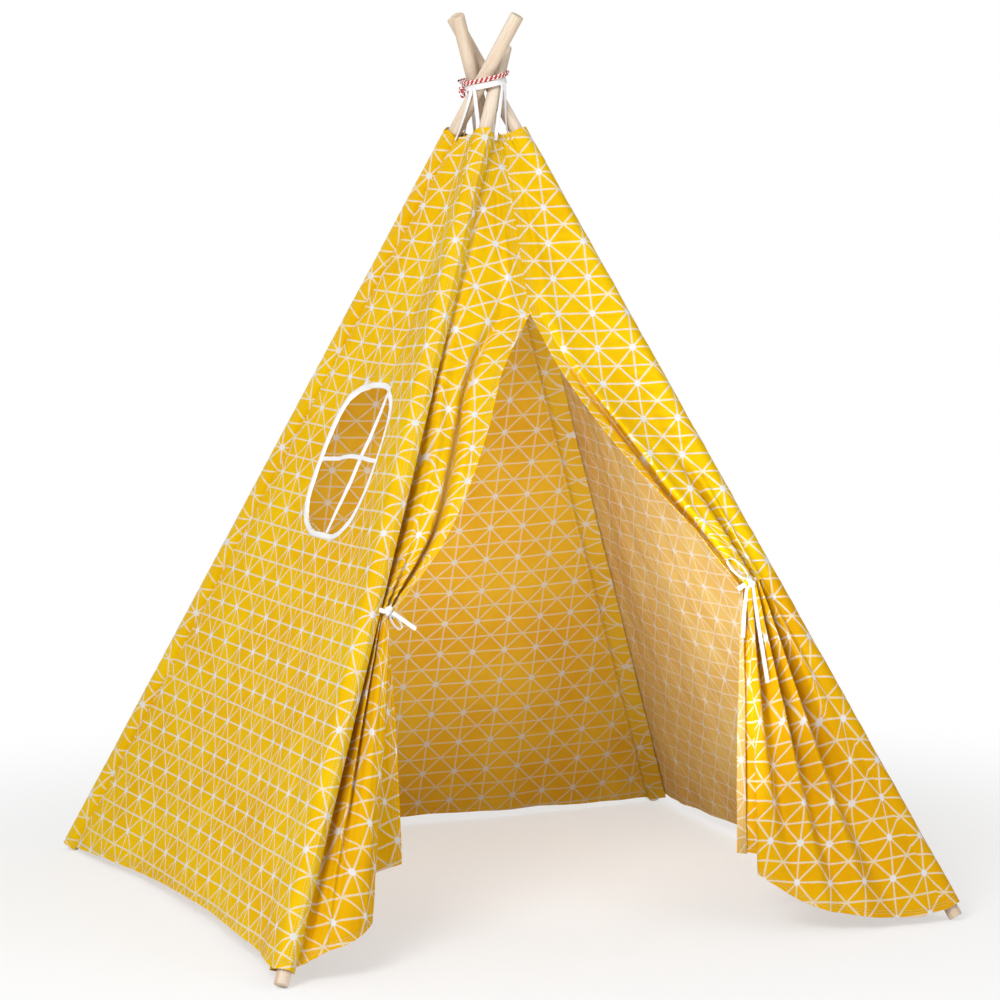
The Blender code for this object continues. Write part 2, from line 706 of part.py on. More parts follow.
def bow_stub(name, door, length, slope, parent):
    """A short ribbon end that stands out from the knot, in front of its loop."""
    heading = door.inward * math.cos(slope) + door.pole.axis * math.sin(slope)
    side = door.forward.cross(heading)
    start = door.beside_knot(heading) + door.forward * (RIBBON_WIDTH / 2 + RIBBON)
    points = [(start + heading * (length * step / TAIL_STEPS), side) for step in range(TAIL_STEPS + 1)]
    ribbon(name, points, RIBBON_WIDTH, parent)


def bow_tail(name, door, across, length, shift, parent):
    """A ribbon end that hangs from the knot and lies on the curtain's outer face."""
    top = door.tied(across, door.panel_end)
    hem = smooth_point(door.hem_points, across)
    fall = (hem - top).length
    side = FRONT.cross(UP)
    start = door.beside_knot(-UP) + side * shift
    points = []
    for step in range(TAIL_STEPS + 1):
        share = step / TAIL_STEPS
        down = share * length / fall
        stand = GATHER_DEPTH + (CURTAIN_FOLD_DEPTH - GATHER_DEPTH) * down + TAIL_STAND
        lying = top.lerp(hem, down) + door.forward.lerp(door.hem_out(across), down) * stand
        points.append((start.lerp(lying, min(1, share * 2)), side))
    ribbon(name, points, RIBBON_WIDTH, parent)


clear_scene()
PARTS = new_collection("kids_teepee")
CUTTERS = new_collection("kids_teepee_cutters")

poles = {corner: Pole(corner) for corner in CORNERS}
hinges = {}
for corner, pole in poles.items():
    hinge = joint_axis(f"{corner}_fold_axis", pole.pivot, pole.tangent)
    hinges[corner] = hinge
    rest = FERRULE_STOP / 2 + FIT_GAP
    pole_section(f"{corner}_pole_lower", 0, LOWER_JOINT_STATION - rest, pole, hinge)
    pole_section(f"{corner}_pole_middle", LOWER_JOINT_STATION + rest, UPPER_JOINT_STATION - rest, pole, hinge)
    pole_section(f"{corner}_pole_upper", UPPER_JOINT_STATION + rest, pole.length, pole, hinge)
    ferrule(f"{corner}_ferrule_lower", pole, LOWER_JOINT_STATION, hinge)
    ferrule(f"{corner}_ferrule_upper", pole, UPPER_JOINT_STATION, hinge)
    start = FRONT_SLEEVE_START if corner.startswith("front") else BACK_SLEEVE_START
    sleeve(f"{corner}_sleeve", pole, start, hinge)

left_wall = Wall(
    poles["back_left"], poles["front_left"], WALL_SAG, BACK_HEM_HEIGHT, FRONT_HEM_HEIGHT)
back_wall = Wall(poles["back_left"], poles["back_right"], WALL_SAG, BACK_HEM_HEIGHT, BACK_HEM_HEIGHT)
right_wall = Wall(
    poles["front_right"], poles["back_right"], WALL_SAG, FRONT_HEM_HEIGHT, BACK_HEM_HEIGHT)
front_wall = Wall(poles["front_left"], poles["front_right"], 0, FRONT_HEM_HEIGHT, FRONT_HEM_HEIGHT)

left_sheet = sheet("left_wall", WALL_COLUMNS, WALL_ROWS, left_wall.cover_point, hinges["back_left"])
cut_window(left_sheet, left_wall)
window_trim(left_wall, hinges["back_left"])
sheet("back_wall", WALL_COLUMNS, WALL_ROWS, back_wall.cover_point, hinges["back_right"])
sheet("right_wall", WALL_COLUMNS, WALL_ROWS, right_wall.cover_point, hinges["front_right"])

left_door = Door(
    "left", front_wall, poles["front_left"], poles["front_right"], LEFT_TIE_HEIGHT, LEFT_GATHER,
    LEFT_EDGE_SHARES, (LEFT_HEM_ACROSS_SHARES, LEFT_HEM_FORWARD, LEFT_HEM_HEIGHTS))
right_door = Door(
    "right", front_wall, poles["front_right"], poles["front_left"], RIGHT_TIE_HEIGHT, RIGHT_GATHER,
    RIGHT_EDGE_SHARES, (RIGHT_HEM_ACROSS_SHARES, RIGHT_HEM_FORWARD, RIGHT_HEM_HEIGHTS))
swings = {}
for door in (left_door, right_door):
    fixed = hinges[f"front_{door.side}"]
    swing = joint_axis(f"{door.side}_door_axis", door.pole.at(door.tie_station), door.pole.axis)
    swings[door.side] = swing
    panel_rows = PANEL_FLAT_ROWS + PANEL_FOLDED_ROWS
    sheet(f"{door.side}_front_panel", PANEL_COLUMNS, panel_rows, door.panel_point, fixed)
    sheet(f"{door.side}_door_curtain", CURTAIN_COLUMNS, CURTAIN_ROWS, door.curtain_point, swing)
    tie_band(door, fixed)
    bow_knot(door, fixed)
bow_loop("left_tie_loop", left_door, LEFT_LOOP_LENGTH, LEFT_LOOP_SLOPE, hinges["front_left"])
bow_stub("left_tie_tail", left_door, LEFT_STUB_LENGTH, LEFT_STUB_SLOPE, hinges["front_left"])
bow_loop("right_tie_loop", right_door, RIGHT_LOOP_LENGTH, RIGHT_LOOP_SLOPE, hinges["front_right"])
bow_tail(
    "right_tie_short_tail", right_door, SHORT_TAIL_ACROSS_SHARE, SHORT_TAIL_LENGTH, TAIL_SHIFT,
    swings["right"])
bow_tail(
    "right_tie_long_tail", right_door, LONG_TAIL_ACROSS_SHARE, LONG_TAIL_LENGTH, -TAIL_SHIFT,
    swings["right"])

lashing_place = Matrix.Translation(UP * CROSSING_HEIGHT) @ Matrix.Rotation(-LASHING_TILT, 4, "Y")
lashing_outer = lashing(lashing_place)
for corner, other, side in NEIGHBOURS:
    top_tie(
        f"{corner}_top_tie_{side}", poles[corner], poles[other], lashing_outer, lashing_place,
        hinges[corner])
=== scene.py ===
"""The dressed kids teepee: fine cloth, stitching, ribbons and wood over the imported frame.

Lengths are in metres and angles in radians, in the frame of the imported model. The cloth pieces are curved
sheets with their own thickness. Each carries two UV maps: "Print" in repeats of the printed lattice, and
"Edge" in metres, as the distance from the nearest sewn edge and the distance along it.
"""

import math

import bmesh
import bpy
import numpy as np
from mathutils import Matrix, Vector, noise


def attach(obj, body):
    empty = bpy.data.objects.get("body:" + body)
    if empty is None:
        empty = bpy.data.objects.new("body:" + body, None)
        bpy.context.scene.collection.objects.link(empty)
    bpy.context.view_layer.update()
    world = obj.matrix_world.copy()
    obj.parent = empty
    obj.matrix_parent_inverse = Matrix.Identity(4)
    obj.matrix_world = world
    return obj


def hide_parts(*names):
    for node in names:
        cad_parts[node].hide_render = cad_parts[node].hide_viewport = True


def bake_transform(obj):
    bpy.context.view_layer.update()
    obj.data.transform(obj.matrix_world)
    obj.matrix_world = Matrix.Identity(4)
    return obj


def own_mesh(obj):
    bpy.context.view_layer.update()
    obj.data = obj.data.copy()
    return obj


# The frame's own sizes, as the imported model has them
FOOT_SPACING = 1.2
CROSSING_HEIGHT = 1.405
POLE_CLEARANCE = 0.00266
POLE_RADIUS = 0.012
POLE_END_BEVEL = 0.001
FOLD_ANGLE = math.radians(29)
FIT_GAP = 0.0003
FERRULE_WALL = 0.001
SLEEVE_WALL = 0.001
SEAM_GAP = 0.0004
CLOTH = 0.0014
BACK_SLEEVE_START = 0.009
FRONT_SLEEVE_START = 0.025
COVER_TOP_HEIGHT = CROSSING_HEIGHT - 0.083
BACK_HEM_HEIGHT = 0.013
FRONT_HEM_HEIGHT = 0.03
HEM_ARCH = 0.019
WALL_SAG = 0.034
WINDOW_HEIGHT = 0.772
WINDOW_FORWARD = 0.006
WINDOW_WIDTH = 0.262
WINDOW_SLOPE_LENGTH = 0.274
WINDOW_SQUARENESS = 2.9
BINDING_WIDTH = 0.009
BINDING_OVERHANG = 0.003
WINDOW_RIBBON_WIDTH = 0.0075
UPRIGHT_TOP_FORWARD = 0.056
UPRIGHT_BOTTOM_FORWARD = 0.012
LEVEL_RIBBON_RISE = 0.008
SLIT_TOP_HEIGHT = 1.02
TIE_HEIGHTS = {"left": 0.552, "right": 0.568}
GATHERS = {"left": 0.018, "right": 0.036}
GATHER_DEPTH = 0.010
CURTAIN_FOLD_DEPTH = 0.020
EDGE_SHARES = {"left": (0.0, 0.355, 0.478, 0.600, 0.738), "right": (0.0, 0.199, 0.407, 0.601, 0.778)}
HEMS = {
    "left": (
        (0.0, 0.10, 0.225, 0.30, 0.385),
        (0.0, 0.010, -0.014, -0.048, -0.128),
        (0.034, 0.052, 0.088, 0.135, 0.139)),
    "right": (
        (0.0, 0.15, 0.32, 0.41, 0.48, 0.52, 0.515),
        (0.0, 0.018, 0.018, 0.004, -0.016, -0.055, -0.132),
        (0.026, 0.022, 0.030, 0.049, 0.075, 0.104, 0.113)),
}
LASHING_RIBBON_WIDTH = 0.010
LASHING_TILT = math.radians(12.0)
TWINE_RADIUS = 0.0017
RIBBON = 0.001
RIBBON_WIDTH = 0.007
TIE_BAND_WIDTH = 0.008
BOW_KNOT_RADIUS = 0.0065
BOW_KNOT_STRETCH = 1.35
BOW_KNOT_BACK = 0.004

POLE_LEAN = math.atan2(FOOT_SPACING / math.sqrt(2), CROSSING_HEIGHT)
WALL_LEAN = math.atan2(FOOT_SPACING / 2, CROSSING_HEIGHT)
CROSSING_OFFSET = (
    (2 * POLE_RADIUS + POLE_CLEARANCE) * math.sqrt(1 + math.cos(POLE_LEAN) ** 2) / (2 * math.cos(POLE_LEAN)))
SLEEVE_BORE = POLE_RADIUS + 2 * FIT_GAP + FERRULE_WALL
SLEEVE_RADIUS = SLEEVE_BORE + SLEEVE_WALL
EDGE_REACH = SLEEVE_RADIUS + SEAM_GAP
BAND_BEND = GATHER_DEPTH + CLOTH + FIT_GAP + RIBBON / 2
UP = Vector((0, 0, 1))
FRONT = Vector((0, -1, 0))
CORNERS = {
    "back_left": (-1, 1),
    "front_left": (-1, -1),
    "front_right": (1, -1),
    "back_right": (1, 1),
}

# Thicknesses of the visible cloth and tape, and the length up a wall's slope for each metre of height
SHEET = 0.0011
SLEEVE_SHEET = 0.0008
TAPE_SHEET = 0.0007
LASHING_SHEET = 0.0009
SLOPE = 1 / math.cos(WALL_LEAN)

# How a wall's cloth lies: its lap over the first seam, then its way round the second pole
SEAM_LAP = 0.002
WRAP_RADIUS = SLEEVE_RADIUS + 0.0029
WRAP_START = 0.06
WRAP_SOFTNESS = 0.36
WRAP_COLUMNS = 30
WRAP_STRIP = 0.07
LIP_TURN = 1.5
SLEEVE_TIP = 0.028

# The print, the sewing and the tape
PITCH = 0.064
LINE = 0.0030
DOT = 0.0112
STITCH_SPACING = 0.0042
THREAD_WIDTH = 0.0011
TAPE_RIBS = 1300.0
# Where each print starts on the flat cloth, its turn and its repeat
WALL_PRINTS = {
    "left_wall": ((0.010, 0.020), 0.0, 0.0640),
    "back_wall": ((-0.016, 0.518), 0.0, 0.0658),
    "right_wall": ((0.0, 0.0), 0.0, 0.0640),
}
PANEL_PRINTS = {
    "left": ((-0.0758, 1.0905), math.radians(12.0), 0.0650),
    "right": ((0.067, 1.3571), math.radians(-2.0), 0.0642),
}
CURTAIN_PRINTS = {
    "left": ((-0.5116, 0.1715), math.radians(12.2), 0.0648),
    "right": ((0.4787, 0.0879), math.radians(-5.0), 0.0645),
}
# Each cloth's name, ground, lines, dots, the light that it lets through, and its rows of stitches
CLOTHS = (
    ("cover_outside", (0.90, 0.595, 0.002), (0.87, 0.80, 0.66), (0.84, 0.85, 0.88), 0.22, (0.007, 0.0115)),
    # The curtains' cloth is the cover's cloth made darker and more orange: painted shade on the lower door
    # halves
    ("curtain_outside_painted_shade", (0.80, 0.455, 0.002), (0.80, 0.70, 0.52), (0.80, 0.79, 0.80), 0.18, (0.007, 0.0115)),
    ("cover_inside", (0.68, 0.42, 0.025), (0.66, 0.55, 0.38), (0.64, 0.58, 0.50), 0.34, (0.007,)),
    # A paler copy of the inside cloth: painted light for the right wall's inside and the curtains' inside
    ("cover_inside_painted_light", (0.72, 0.53, 0.17), (0.76, 0.67, 0.54), (0.74, 0.70, 0.66), 0.34, (0.007,)),
)


def srgb(red, green, blue):
    """A colour from screen values of 0 to 255, as linear light."""
    return tuple((v / 255) ** 2.2 for v in (red, green, blue))


class Pole:
    """One pole's place: its pivot at the crossing, its axis, and points along it."""

    def __init__(self, corner):
        side_x, side_y = CORNERS[corner]
        self.corner = corner
        self.radial = Vector((side_x, side_y, 0)).normalized()
        self.tangent = Vector((-self.radial.y, self.radial.x, 0))
        self.axis = UP * math.cos(POLE_LEAN) - self.radial * math.sin(POLE_LEAN)
        self.pivot = self.tangent * CROSSING_OFFSET + UP * CROSSING_HEIGHT
        ground = self.pivot - self.axis * (CROSSING_HEIGHT / math.cos(POLE_LEAN))
        self.foot = ground + self.axis * ((POLE_RADIUS - POLE_END_BEVEL) * math.tan(POLE_LEAN))

    def at(self, station):
        return self.foot + self.axis * station

    def station_of(self, height):
        return (height - self.foot.z) / math.cos(POLE_LEAN)

    def across(self, other):
        level = Vector((other.foot.x - self.foot.x, other.foot.y - self.foot.y, 0)).normalized()
        return (level - self.axis * level.dot(self.axis)).normalized()

    def edge(self, height, other):
        """The sleeve's seam towards another pole."""
        return self.at(self.station_of(height)) + self.across(other) * EDGE_REACH

    def beside(self, place):
        """The station on the axis that is beside a point."""
        return (place - self.foot).dot(self.axis)


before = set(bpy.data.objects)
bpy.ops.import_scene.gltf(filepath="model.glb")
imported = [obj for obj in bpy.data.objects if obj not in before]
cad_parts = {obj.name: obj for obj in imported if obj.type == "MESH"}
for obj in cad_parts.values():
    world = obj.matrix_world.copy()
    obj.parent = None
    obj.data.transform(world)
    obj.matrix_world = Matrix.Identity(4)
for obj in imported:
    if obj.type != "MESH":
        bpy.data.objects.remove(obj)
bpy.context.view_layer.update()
poles = {corner: Pole(corner) for corner in CORNERS}


# Camera, light and stage
def set_camera():
    """The photograph's view, fitted to the feet, the crossing and the pole ends."""
    yaw, pitch, roll = 0.36798, -0.09949, -0.00665
    ahead = Vector((math.sin(yaw) * math.cos(pitch), math.cos(yaw) * math.cos(pitch), math.sin(pitch)))
    right = ahead.cross(UP).normalized()
    up = right.cross(ahead)
    right, up = (
        right * math.cos(roll) + up * math.sin(roll),
        up * math.cos(roll) - right * math.sin(roll))
    data = bpy.data.cameras.new("camera")
    data.lens = 126
    data.sensor_width = 36
    data.clip_end = 60
    camera = bpy.data.objects.new("camera", data)
    turn = Matrix((right, up, -ahead)).transposed().to_4x4()
    camera.matrix_world = Matrix.Translation((-2.17529, -5.69877, 1.29017)) @ turn
    bpy.context.scene.collection.objects.link(camera)
    bpy.context.scene.camera = camera


def area_light(name, place, target, size, power, spread=180):
    data = bpy.data.lights.new(name, "AREA")
    data.shape = "DISK"
    data.size = size
    data.energy = power
    data.spread = math.radians(spread)
    lamp = bpy.data.objects.new(name, data)
    lamp.visible_camera = False
    away = (Vector(place) - Vector(target)).normalized()
    lamp.matrix_world = Matrix.Translation(place) @ away.to_track_quat("Z", "Y").to_matrix().to_4x4()
    bpy.context.scene.collection.objects.link(lamp)


def set_stage():
    """A pale floor that keeps the shadow, a white surround and soft lamps."""
    scene = bpy.context.scene
    scene.view_settings.view_transform = "Standard"
    world = bpy.data.worlds.new("surround")
    scene.world = world
    world.use_nodes = True
    tree = world.node_tree
    back = tree.nodes["Background"]
    back.inputs["Color"].default_value = (1, 1, 1, 1)
    back.inputs["Strength"].default_value = 0.56
    white = tree.nodes.new("ShaderNodeBackground")
    white.inputs["Color"].default_value = (1, 1, 1, 1)
    white.inputs["Strength"].default_value = 1.0
    mix = tree.nodes.new("ShaderNodeMixShader")
    path = tree.nodes.new("ShaderNodeLightPath")
    tree.links.new(path.outputs["Is Camera Ray"], mix.inputs["Fac"])
    tree.links.new(back.outputs[0], mix.inputs[1])
    tree.links.new(white.outputs[0], mix.inputs[2])
    tree.links.new(mix.outputs[0], tree.nodes["World Output"].inputs["Surface"])

    area_light("key", (-2.6, -2.8, 3.0), (0, 0, 0.9), 2.0, 128)
    area_light("fill", (2.4, -4.2, 2.4), (0, 0, 0.7), 3.0, 34)
    area_light("threshold", (-0.05, -0.66, 0.18), (0.20, 0.5, 0.76), 0.3, 3.4, spread=96)

    bpy.ops.mesh.primitive_plane_add(size=24)
    floor = bpy.context.object
    floor.name = "floor"
    made = bpy.data.materials.new("floor")
    made.use_nodes = True
    tree = made.node_tree
    shader = tree.nodes["Principled BSDF"]
    shader.inputs["Base Color"].default_value = (0.86, 0.86, 0.86, 1)
    shader.inputs["Roughness"].default_value = 0.9
    glow = tree.nodes.new("ShaderNodeEmission")
    glow.inputs["Strength"].default_value = 1.0
    path = tree.nodes.new("ShaderNodeLightPath")
    spot = tree.nodes.new("ShaderNodeTexCoord")
    reach = tree.nodes.new("ShaderNodeVectorMath")
    reach.operation = "LENGTH"
    tree.links.new(spot.outputs["Object"], reach.inputs[0])
    fade = tree.nodes.new("ShaderNodeMapRange")
    fade.interpolation_type = "SMOOTHSTEP"
    fade.inputs["From Min"].default_value = 0.7
    fade.inputs["From Max"].default_value = 2.0
    fade.inputs["To Min"].default_value = 0.55
    fade.inputs["To Max"].default_value = 1.0
    tree.links.new(reach.outputs["Value"], fade.inputs["Value"])
    share = tree.nodes.new("ShaderNodeMath")
    share.operation = "MULTIPLY"
    tree.links.new(fade.outputs[0], share.inputs[1])
    mix = tree.nodes.new("ShaderNodeMixShader")
    tree.links.new(path.outputs["Is Camera Ray"], share.inputs[0])
    tree.links.new(share.outputs[0], mix.inputs["Fac"])
    tree.links.new(shader.outputs[0], mix.inputs[1])
    tree.links.new(glow.outputs[0], mix.inputs[2])
    tree.links.new(mix.outputs[0], tree.nodes["Material Output"].inputs["Surface"])
    floor.data.materials.append(made)


# Materials
class Nodes:
    """Short calls that build a node tree."""

    def __init__(self, tree):
        self.tree = tree

    def node(self, kind, inputs=(), **settings):
        made = self.tree.nodes.new(kind)
        for key, value in settings.items():
            setattr(made, key, value)
        for key, value in dict(inputs).items():
            if isinstance(value, bpy.types.NodeSocket):
                self.tree.links.new(value, made.inputs[key])
            else:
                made.inputs[key].default_value = value
        return made

    def math(self, operation, first, second=None, third=None):
        inputs = {0: first}
        if second is not None:
            inputs[1] = second
        if third is not None:
            inputs[2] = third
        return self.node("ShaderNodeMath", inputs, operation=operation).outputs[0]

    def edge(self, value, middle, soft):
        """1 below the middle and 0 above it, with a soft step."""
        made = self.node("ShaderNodeMapRange", {
            "Value": value, "From Min": middle - soft, "From Max": middle + soft,
            "To Min": 1.0, "To Max": 0.0}, interpolation_type="SMOOTHSTEP")
        return made.outputs[0]

    def mix(self, factor, first, second):
        made = self.node("ShaderNodeMix", data_type="RGBA")
        for index, value in ((0, factor), (6, first), (7, second)):
            if isinstance(value, bpy.types.NodeSocket):
                self.tree.links.new(value, made.inputs[index])
            else:
                made.inputs[index].default_value = value if index == 0 else (*value, 1)
        return made.outputs[2]

    def noise(self, vector, scale, detail=2.0, roughness=0.5):
        made = self.node("ShaderNodeTexNoise", {
            "Vector": vector, "Scale": scale, "Detail": detail, "Roughness": roughness})
        return made.outputs[0]


def new_material(name, roughness):
    made = bpy.data.materials.new(name)
    made.use_nodes = True
    tree = made.node_tree
    shader = tree.nodes["Principled BSDF"]
    shader.inputs["Roughness"].default_value = roughness
    return made, Nodes(tree), shader


def lattice(n):
    """How white the print is: a square lattice with both diagonals and a dot at each corner."""
    uv = n.node("ShaderNodeUVMap", uv_map="Print").outputs[0]
    wobble = n.node("ShaderNodeVectorMath", {0: uv, 1: (9.0, 9.0, 9.0)}, operation="MULTIPLY").outputs[0]
    wobble = n.noise(wobble, 1.0, 1.0)
    split = n.node("ShaderNodeSeparateXYZ", {0: uv})
    u, v = split.outputs[0], split.outputs[1]

    def off(value):
        return n.math("PINGPONG", value, 0.5)

    upright = off(u)
    level = n.math("MULTIPLY", off(n.math("MULTIPLY", v, 2.0)), 0.5)
    rising = n.math("MULTIPLY", off(n.math("ADD", u, v)), math.sqrt(0.5))
    falling = n.math("MULTIPLY", off(n.math("SUBTRACT", u, v)), math.sqrt(0.5))
    near = n.math("MINIMUM", n.math("MINIMUM", upright, level), n.math("MINIMUM", rising, falling))
    near = n.math("MULTIPLY_ADD", wobble, -0.012, near)
    row = off(v)
    corner = n.math("SQRT", n.math("ADD", n.math("MULTIPLY", upright, upright), n.math("MULTIPLY", row, row)))
    lines = n.edge(near, LINE / 2 / PITCH - 0.006, 0.008)
    dots = n.edge(corner, DOT / 2 / PITCH, 0.014)
    return uv, lines, dots


def stitches(n, offset):
    """A row of sewing: how much thread shows, and where the cloth sinks beside it."""
    uv = n.node("ShaderNodeUVMap", uv_map="Edge").outputs[0]
    split = n.node("ShaderNodeSeparateXYZ", {0: uv})
    aside = n.math("ABSOLUTE", n.math("SUBTRACT", split.outputs[0], offset))
    row = n.edge(aside, THREAD_WIDTH / 2, THREAD_WIDTH / 4)
    along = n.math("FRACT", n.math("DIVIDE", split.outputs[1], STITCH_SPACING))
    run = n.edge(n.math("ABSOLUTE", n.math("SUBTRACT", along, 0.5)), 0.34, 0.06)
    return n.math("MULTIPLY", row, run), n.edge(aside, THREAD_WIDTH * 1.3, THREAD_WIDTH)


def cotton(name, ground, line, dot, through, seams):
    """Printed cotton canvas with its weave, its seams and a little light through it."""
    made, n, shader = new_material(name, 0.86)
    uv, lines, dots = lattice(n)
    place = n.node("ShaderNodeTexCoord").outputs["Object"]
    cloud = n.noise(place, 7.0, 3.0, 0.6)
    fleck = n.noise(place, 420.0, 2.0, 0.7)
    deep = tuple(v * f for v, f in zip(ground, (0.94, 0.83, 0.7)))
    colour = n.mix(n.edge(cloud, 0.5, 0.22), ground, deep)
    colour = n.mix(n.math("MULTIPLY", lines, 0.88), colour, n.mix(fleck, line, tuple(v * 0.92 for v in line)))
    colour = n.mix(dots, colour, n.mix(fleck, dot, tuple(v * 0.95 for v in dot)))
    worn = n.math("MULTIPLY", n.edge(fleck, 0.42, 0.1), 0.10)
    colour = n.mix(worn, colour, tuple(v * 0.8 for v in ground))
    scaled = n.node("ShaderNodeVectorMath", {0: uv, 1: (46.0, 46.0, 46.0)}, operation="MULTIPLY").outputs[0]
    split = n.node("ShaderNodeSeparateXYZ", {0: scaled})
    warp = n.math("PINGPONG", split.outputs[0], 0.5)
    weft = n.math("PINGPONG", split.outputs[1], 0.5)
    weave = n.math("MULTIPLY_ADD", n.math("MAXIMUM", warp, weft), 0.8, n.math("MULTIPLY", fleck, 0.5))
    crease = n.noise(place, 48.0, 4.0, 0.6)
    height = n.math("MULTIPLY_ADD", crease, 1.4, n.math("MULTIPLY", weave, 0.22))
    for offset in seams:
        thread, sunk = stitches(n, offset)
        colour = n.mix(n.math("MULTIPLY", thread, 0.42), colour, (0.92, 0.80, 0.42))
        height = n.math("MULTIPLY_ADD", sunk, -0.9, height)
        height = n.math("MULTIPLY_ADD", thread, 0.9, height)
    bump = n.node("ShaderNodeBump", {"Height": height, "Strength": 0.5, "Distance": 0.0015})
    tree = n.tree
    tree.links.new(colour, shader.inputs["Base Color"])
    tree.links.new(bump.outputs[0], shader.inputs["Normal"])
    shader.inputs["Sheen Weight"].default_value = 0.015
    shader.inputs["Sheen Roughness"].default_value = 0.6
    shader.inputs["Specular IOR Level"].default_value = 0.05
    glow = n.node("ShaderNodeBsdfTranslucent", {"Color": colour})
    mix = n.node("ShaderNodeMixShader", {0: through, 1: shader.outputs[0], 2: glow.outputs[0]})
    tree.links.new(mix.outputs[0], tree.nodes["Material Output"].inputs["Surface"])
    return made


def tape(name, colour):
    """Woven white cotton tape, with fine cross ribs and painted shade that greys its edges."""
    made, n, shader = new_material(name, 0.78)
    place = n.node("ShaderNodeTexCoord").outputs["Object"]
    uv = n.node("ShaderNodeUVMap", uv_map="Print").outputs[0]
    split = n.node("ShaderNodeSeparateXYZ", {0: uv})
    ribs = n.math("PINGPONG", n.math("MULTIPLY", split.outputs[1], TAPE_RIBS), 0.5)
    fleck = n.noise(place, 380.0, 2.0, 0.6)
    # Painted shade: both edges of the tape are darkened towards grey
    rim = n.edge(n.math("PINGPONG", split.outputs[0], 0.5), 0.07, 0.06)
    tone = n.mix(fleck, colour, tuple(v * 0.9 for v in colour))
    tone = n.mix(n.math("MULTIPLY", rim, 0.35), tone, tuple(v * 0.72 for v in colour))
    n.tree.links.new(tone, shader.inputs["Base Color"])
    height = n.math("MULTIPLY_ADD", fleck, 0.6, ribs)
    bump = n.node("ShaderNodeBump", {"Height": height, "Strength": 0.35, "Distance": 0.0004})
    n.tree.links.new(bump.outputs[0], shader.inputs["Normal"])
    shader.inputs["Sheen Weight"].default_value = 0.1
    return made


def pine(pole):
    """Bare sanded pine, with its grain along the pole."""
    made, n, shader = new_material(f"pine_{pole.corner}", 0.52)
    place = n.node("ShaderNodeTexCoord").outputs["Object"]
    parts = []
    for way, scale in ((pole.tangent, 1.0), (pole.axis.cross(pole.tangent), 1.0), (pole.axis, 0.055)):
        part = n.node("ShaderNodeVectorMath", {0: place, 1: tuple(way * scale)}, operation="DOT_PRODUCT")
        parts.append(part.outputs["Value"])
    grain = n.node("ShaderNodeCombineXYZ", enumerate(parts))
    rings = n.noise(grain.outputs[0], 260.0, 3.0, 0.62)
    broad = n.noise(grain.outputs[0], 60.0, 2.0, 0.5)
    pores = n.noise(grain.outputs[0], 1500.0, 2.0, 0.6)
    colour = n.mix(n.edge(broad, 0.5, 0.3), srgb(230, 217, 201), srgb(203, 181, 154))
    colour = n.mix(n.math("MULTIPLY", n.edge(rings, 0.45, 0.12), 0.5), colour, srgb(190, 162, 134))
    colour = n.mix(n.math("MULTIPLY", n.edge(pores, 0.4, 0.1), 0.2), colour, srgb(160, 128, 100))
    n.tree.links.new(colour, shader.inputs["Base Color"])
    bump = n.node("ShaderNodeBump", {
        "Height": n.math("ADD", rings, n.math("MULTIPLY", pores, 0.5)), "Strength": 0.16, "Distance": 0.0006})
    n.tree.links.new(bump.outputs[0], shader.inputs["Normal"])
    rough = n.math("MULTIPLY_ADD", rings, 0.2, 0.42)
    n.tree.links.new(rough, shader.inputs["Roughness"])
    return made


def plastic(name):
    made, n, shader = new_material(name, 0.45)
    place = n.node("ShaderNodeTexCoord").outputs["Object"]
    grain = n.noise(place, 900.0, 2.0, 0.6)
    tone = n.mix(grain, srgb(52, 52, 54), srgb(66, 66, 69))
    n.tree.links.new(tone, shader.inputs["Base Color"])
    bump = n.node("ShaderNodeBump", {"Height": grain, "Strength": 0.12, "Distance": 0.0003})
    n.tree.links.new(bump.outputs[0], shader.inputs["Normal"])
    return made


def twine_material():
    """Two-strand twine: red and white with some black, in slanted stripes."""
    made, n, shader = new_material("twine", 0.75)
    uv = n.node("ShaderNodeUVMap", uv_map="Print").outputs[0]
    split = n.node("ShaderNodeSeparateXYZ", {0: uv})
    lay = n.math("ADD", split.outputs[0], n.math("DIVIDE", split.outputs[1], 0.0085))
    turn = n.math("FRACT", lay)
    white = n.edge(n.math("ABSOLUTE", n.math("SUBTRACT", turn, 0.28)), 0.21, 0.03)
    black = n.edge(n.math("ABSOLUTE", n.math("SUBTRACT", turn, 0.9)), 0.05, 0.03)
    colour = n.mix(white, srgb(206, 24, 52), srgb(240, 236, 230))
    colour = n.mix(black, colour, srgb(38, 30, 30))
    n.tree.links.new(colour, shader.inputs["Base Color"])
    groove = n.math("PINGPONG", n.math("MULTIPLY", lay, 2.0), 0.5)
    bump = n.node("ShaderNodeBump", {"Height": groove, "Strength": 0.6, "Distance": 0.0008})
    n.tree.links.new(bump.outputs[0], shader.inputs["Normal"])
    return made


# Sheets
def cubic(points, share):
    """A point of the smooth curve through points at even shares."""
    last = len(points) - 1
    place = min(max(share, 0), 1) * last
    index = min(int(place), last - 1)
    step = place - index
    start, end = points[index], points[index + 1]
    before = points[index - 1] if index else start * 2 - end
    after = points[index + 2] if index + 2 <= last else end * 2 - start
    return (
        start + (end - before) * (step / 2)
        + (before * 2 - start * 5 + end * 4 - after) * (step ** 2 / 2)
        + (start * 3 - before - end * 3 + after) * (step ** 3 / 2))


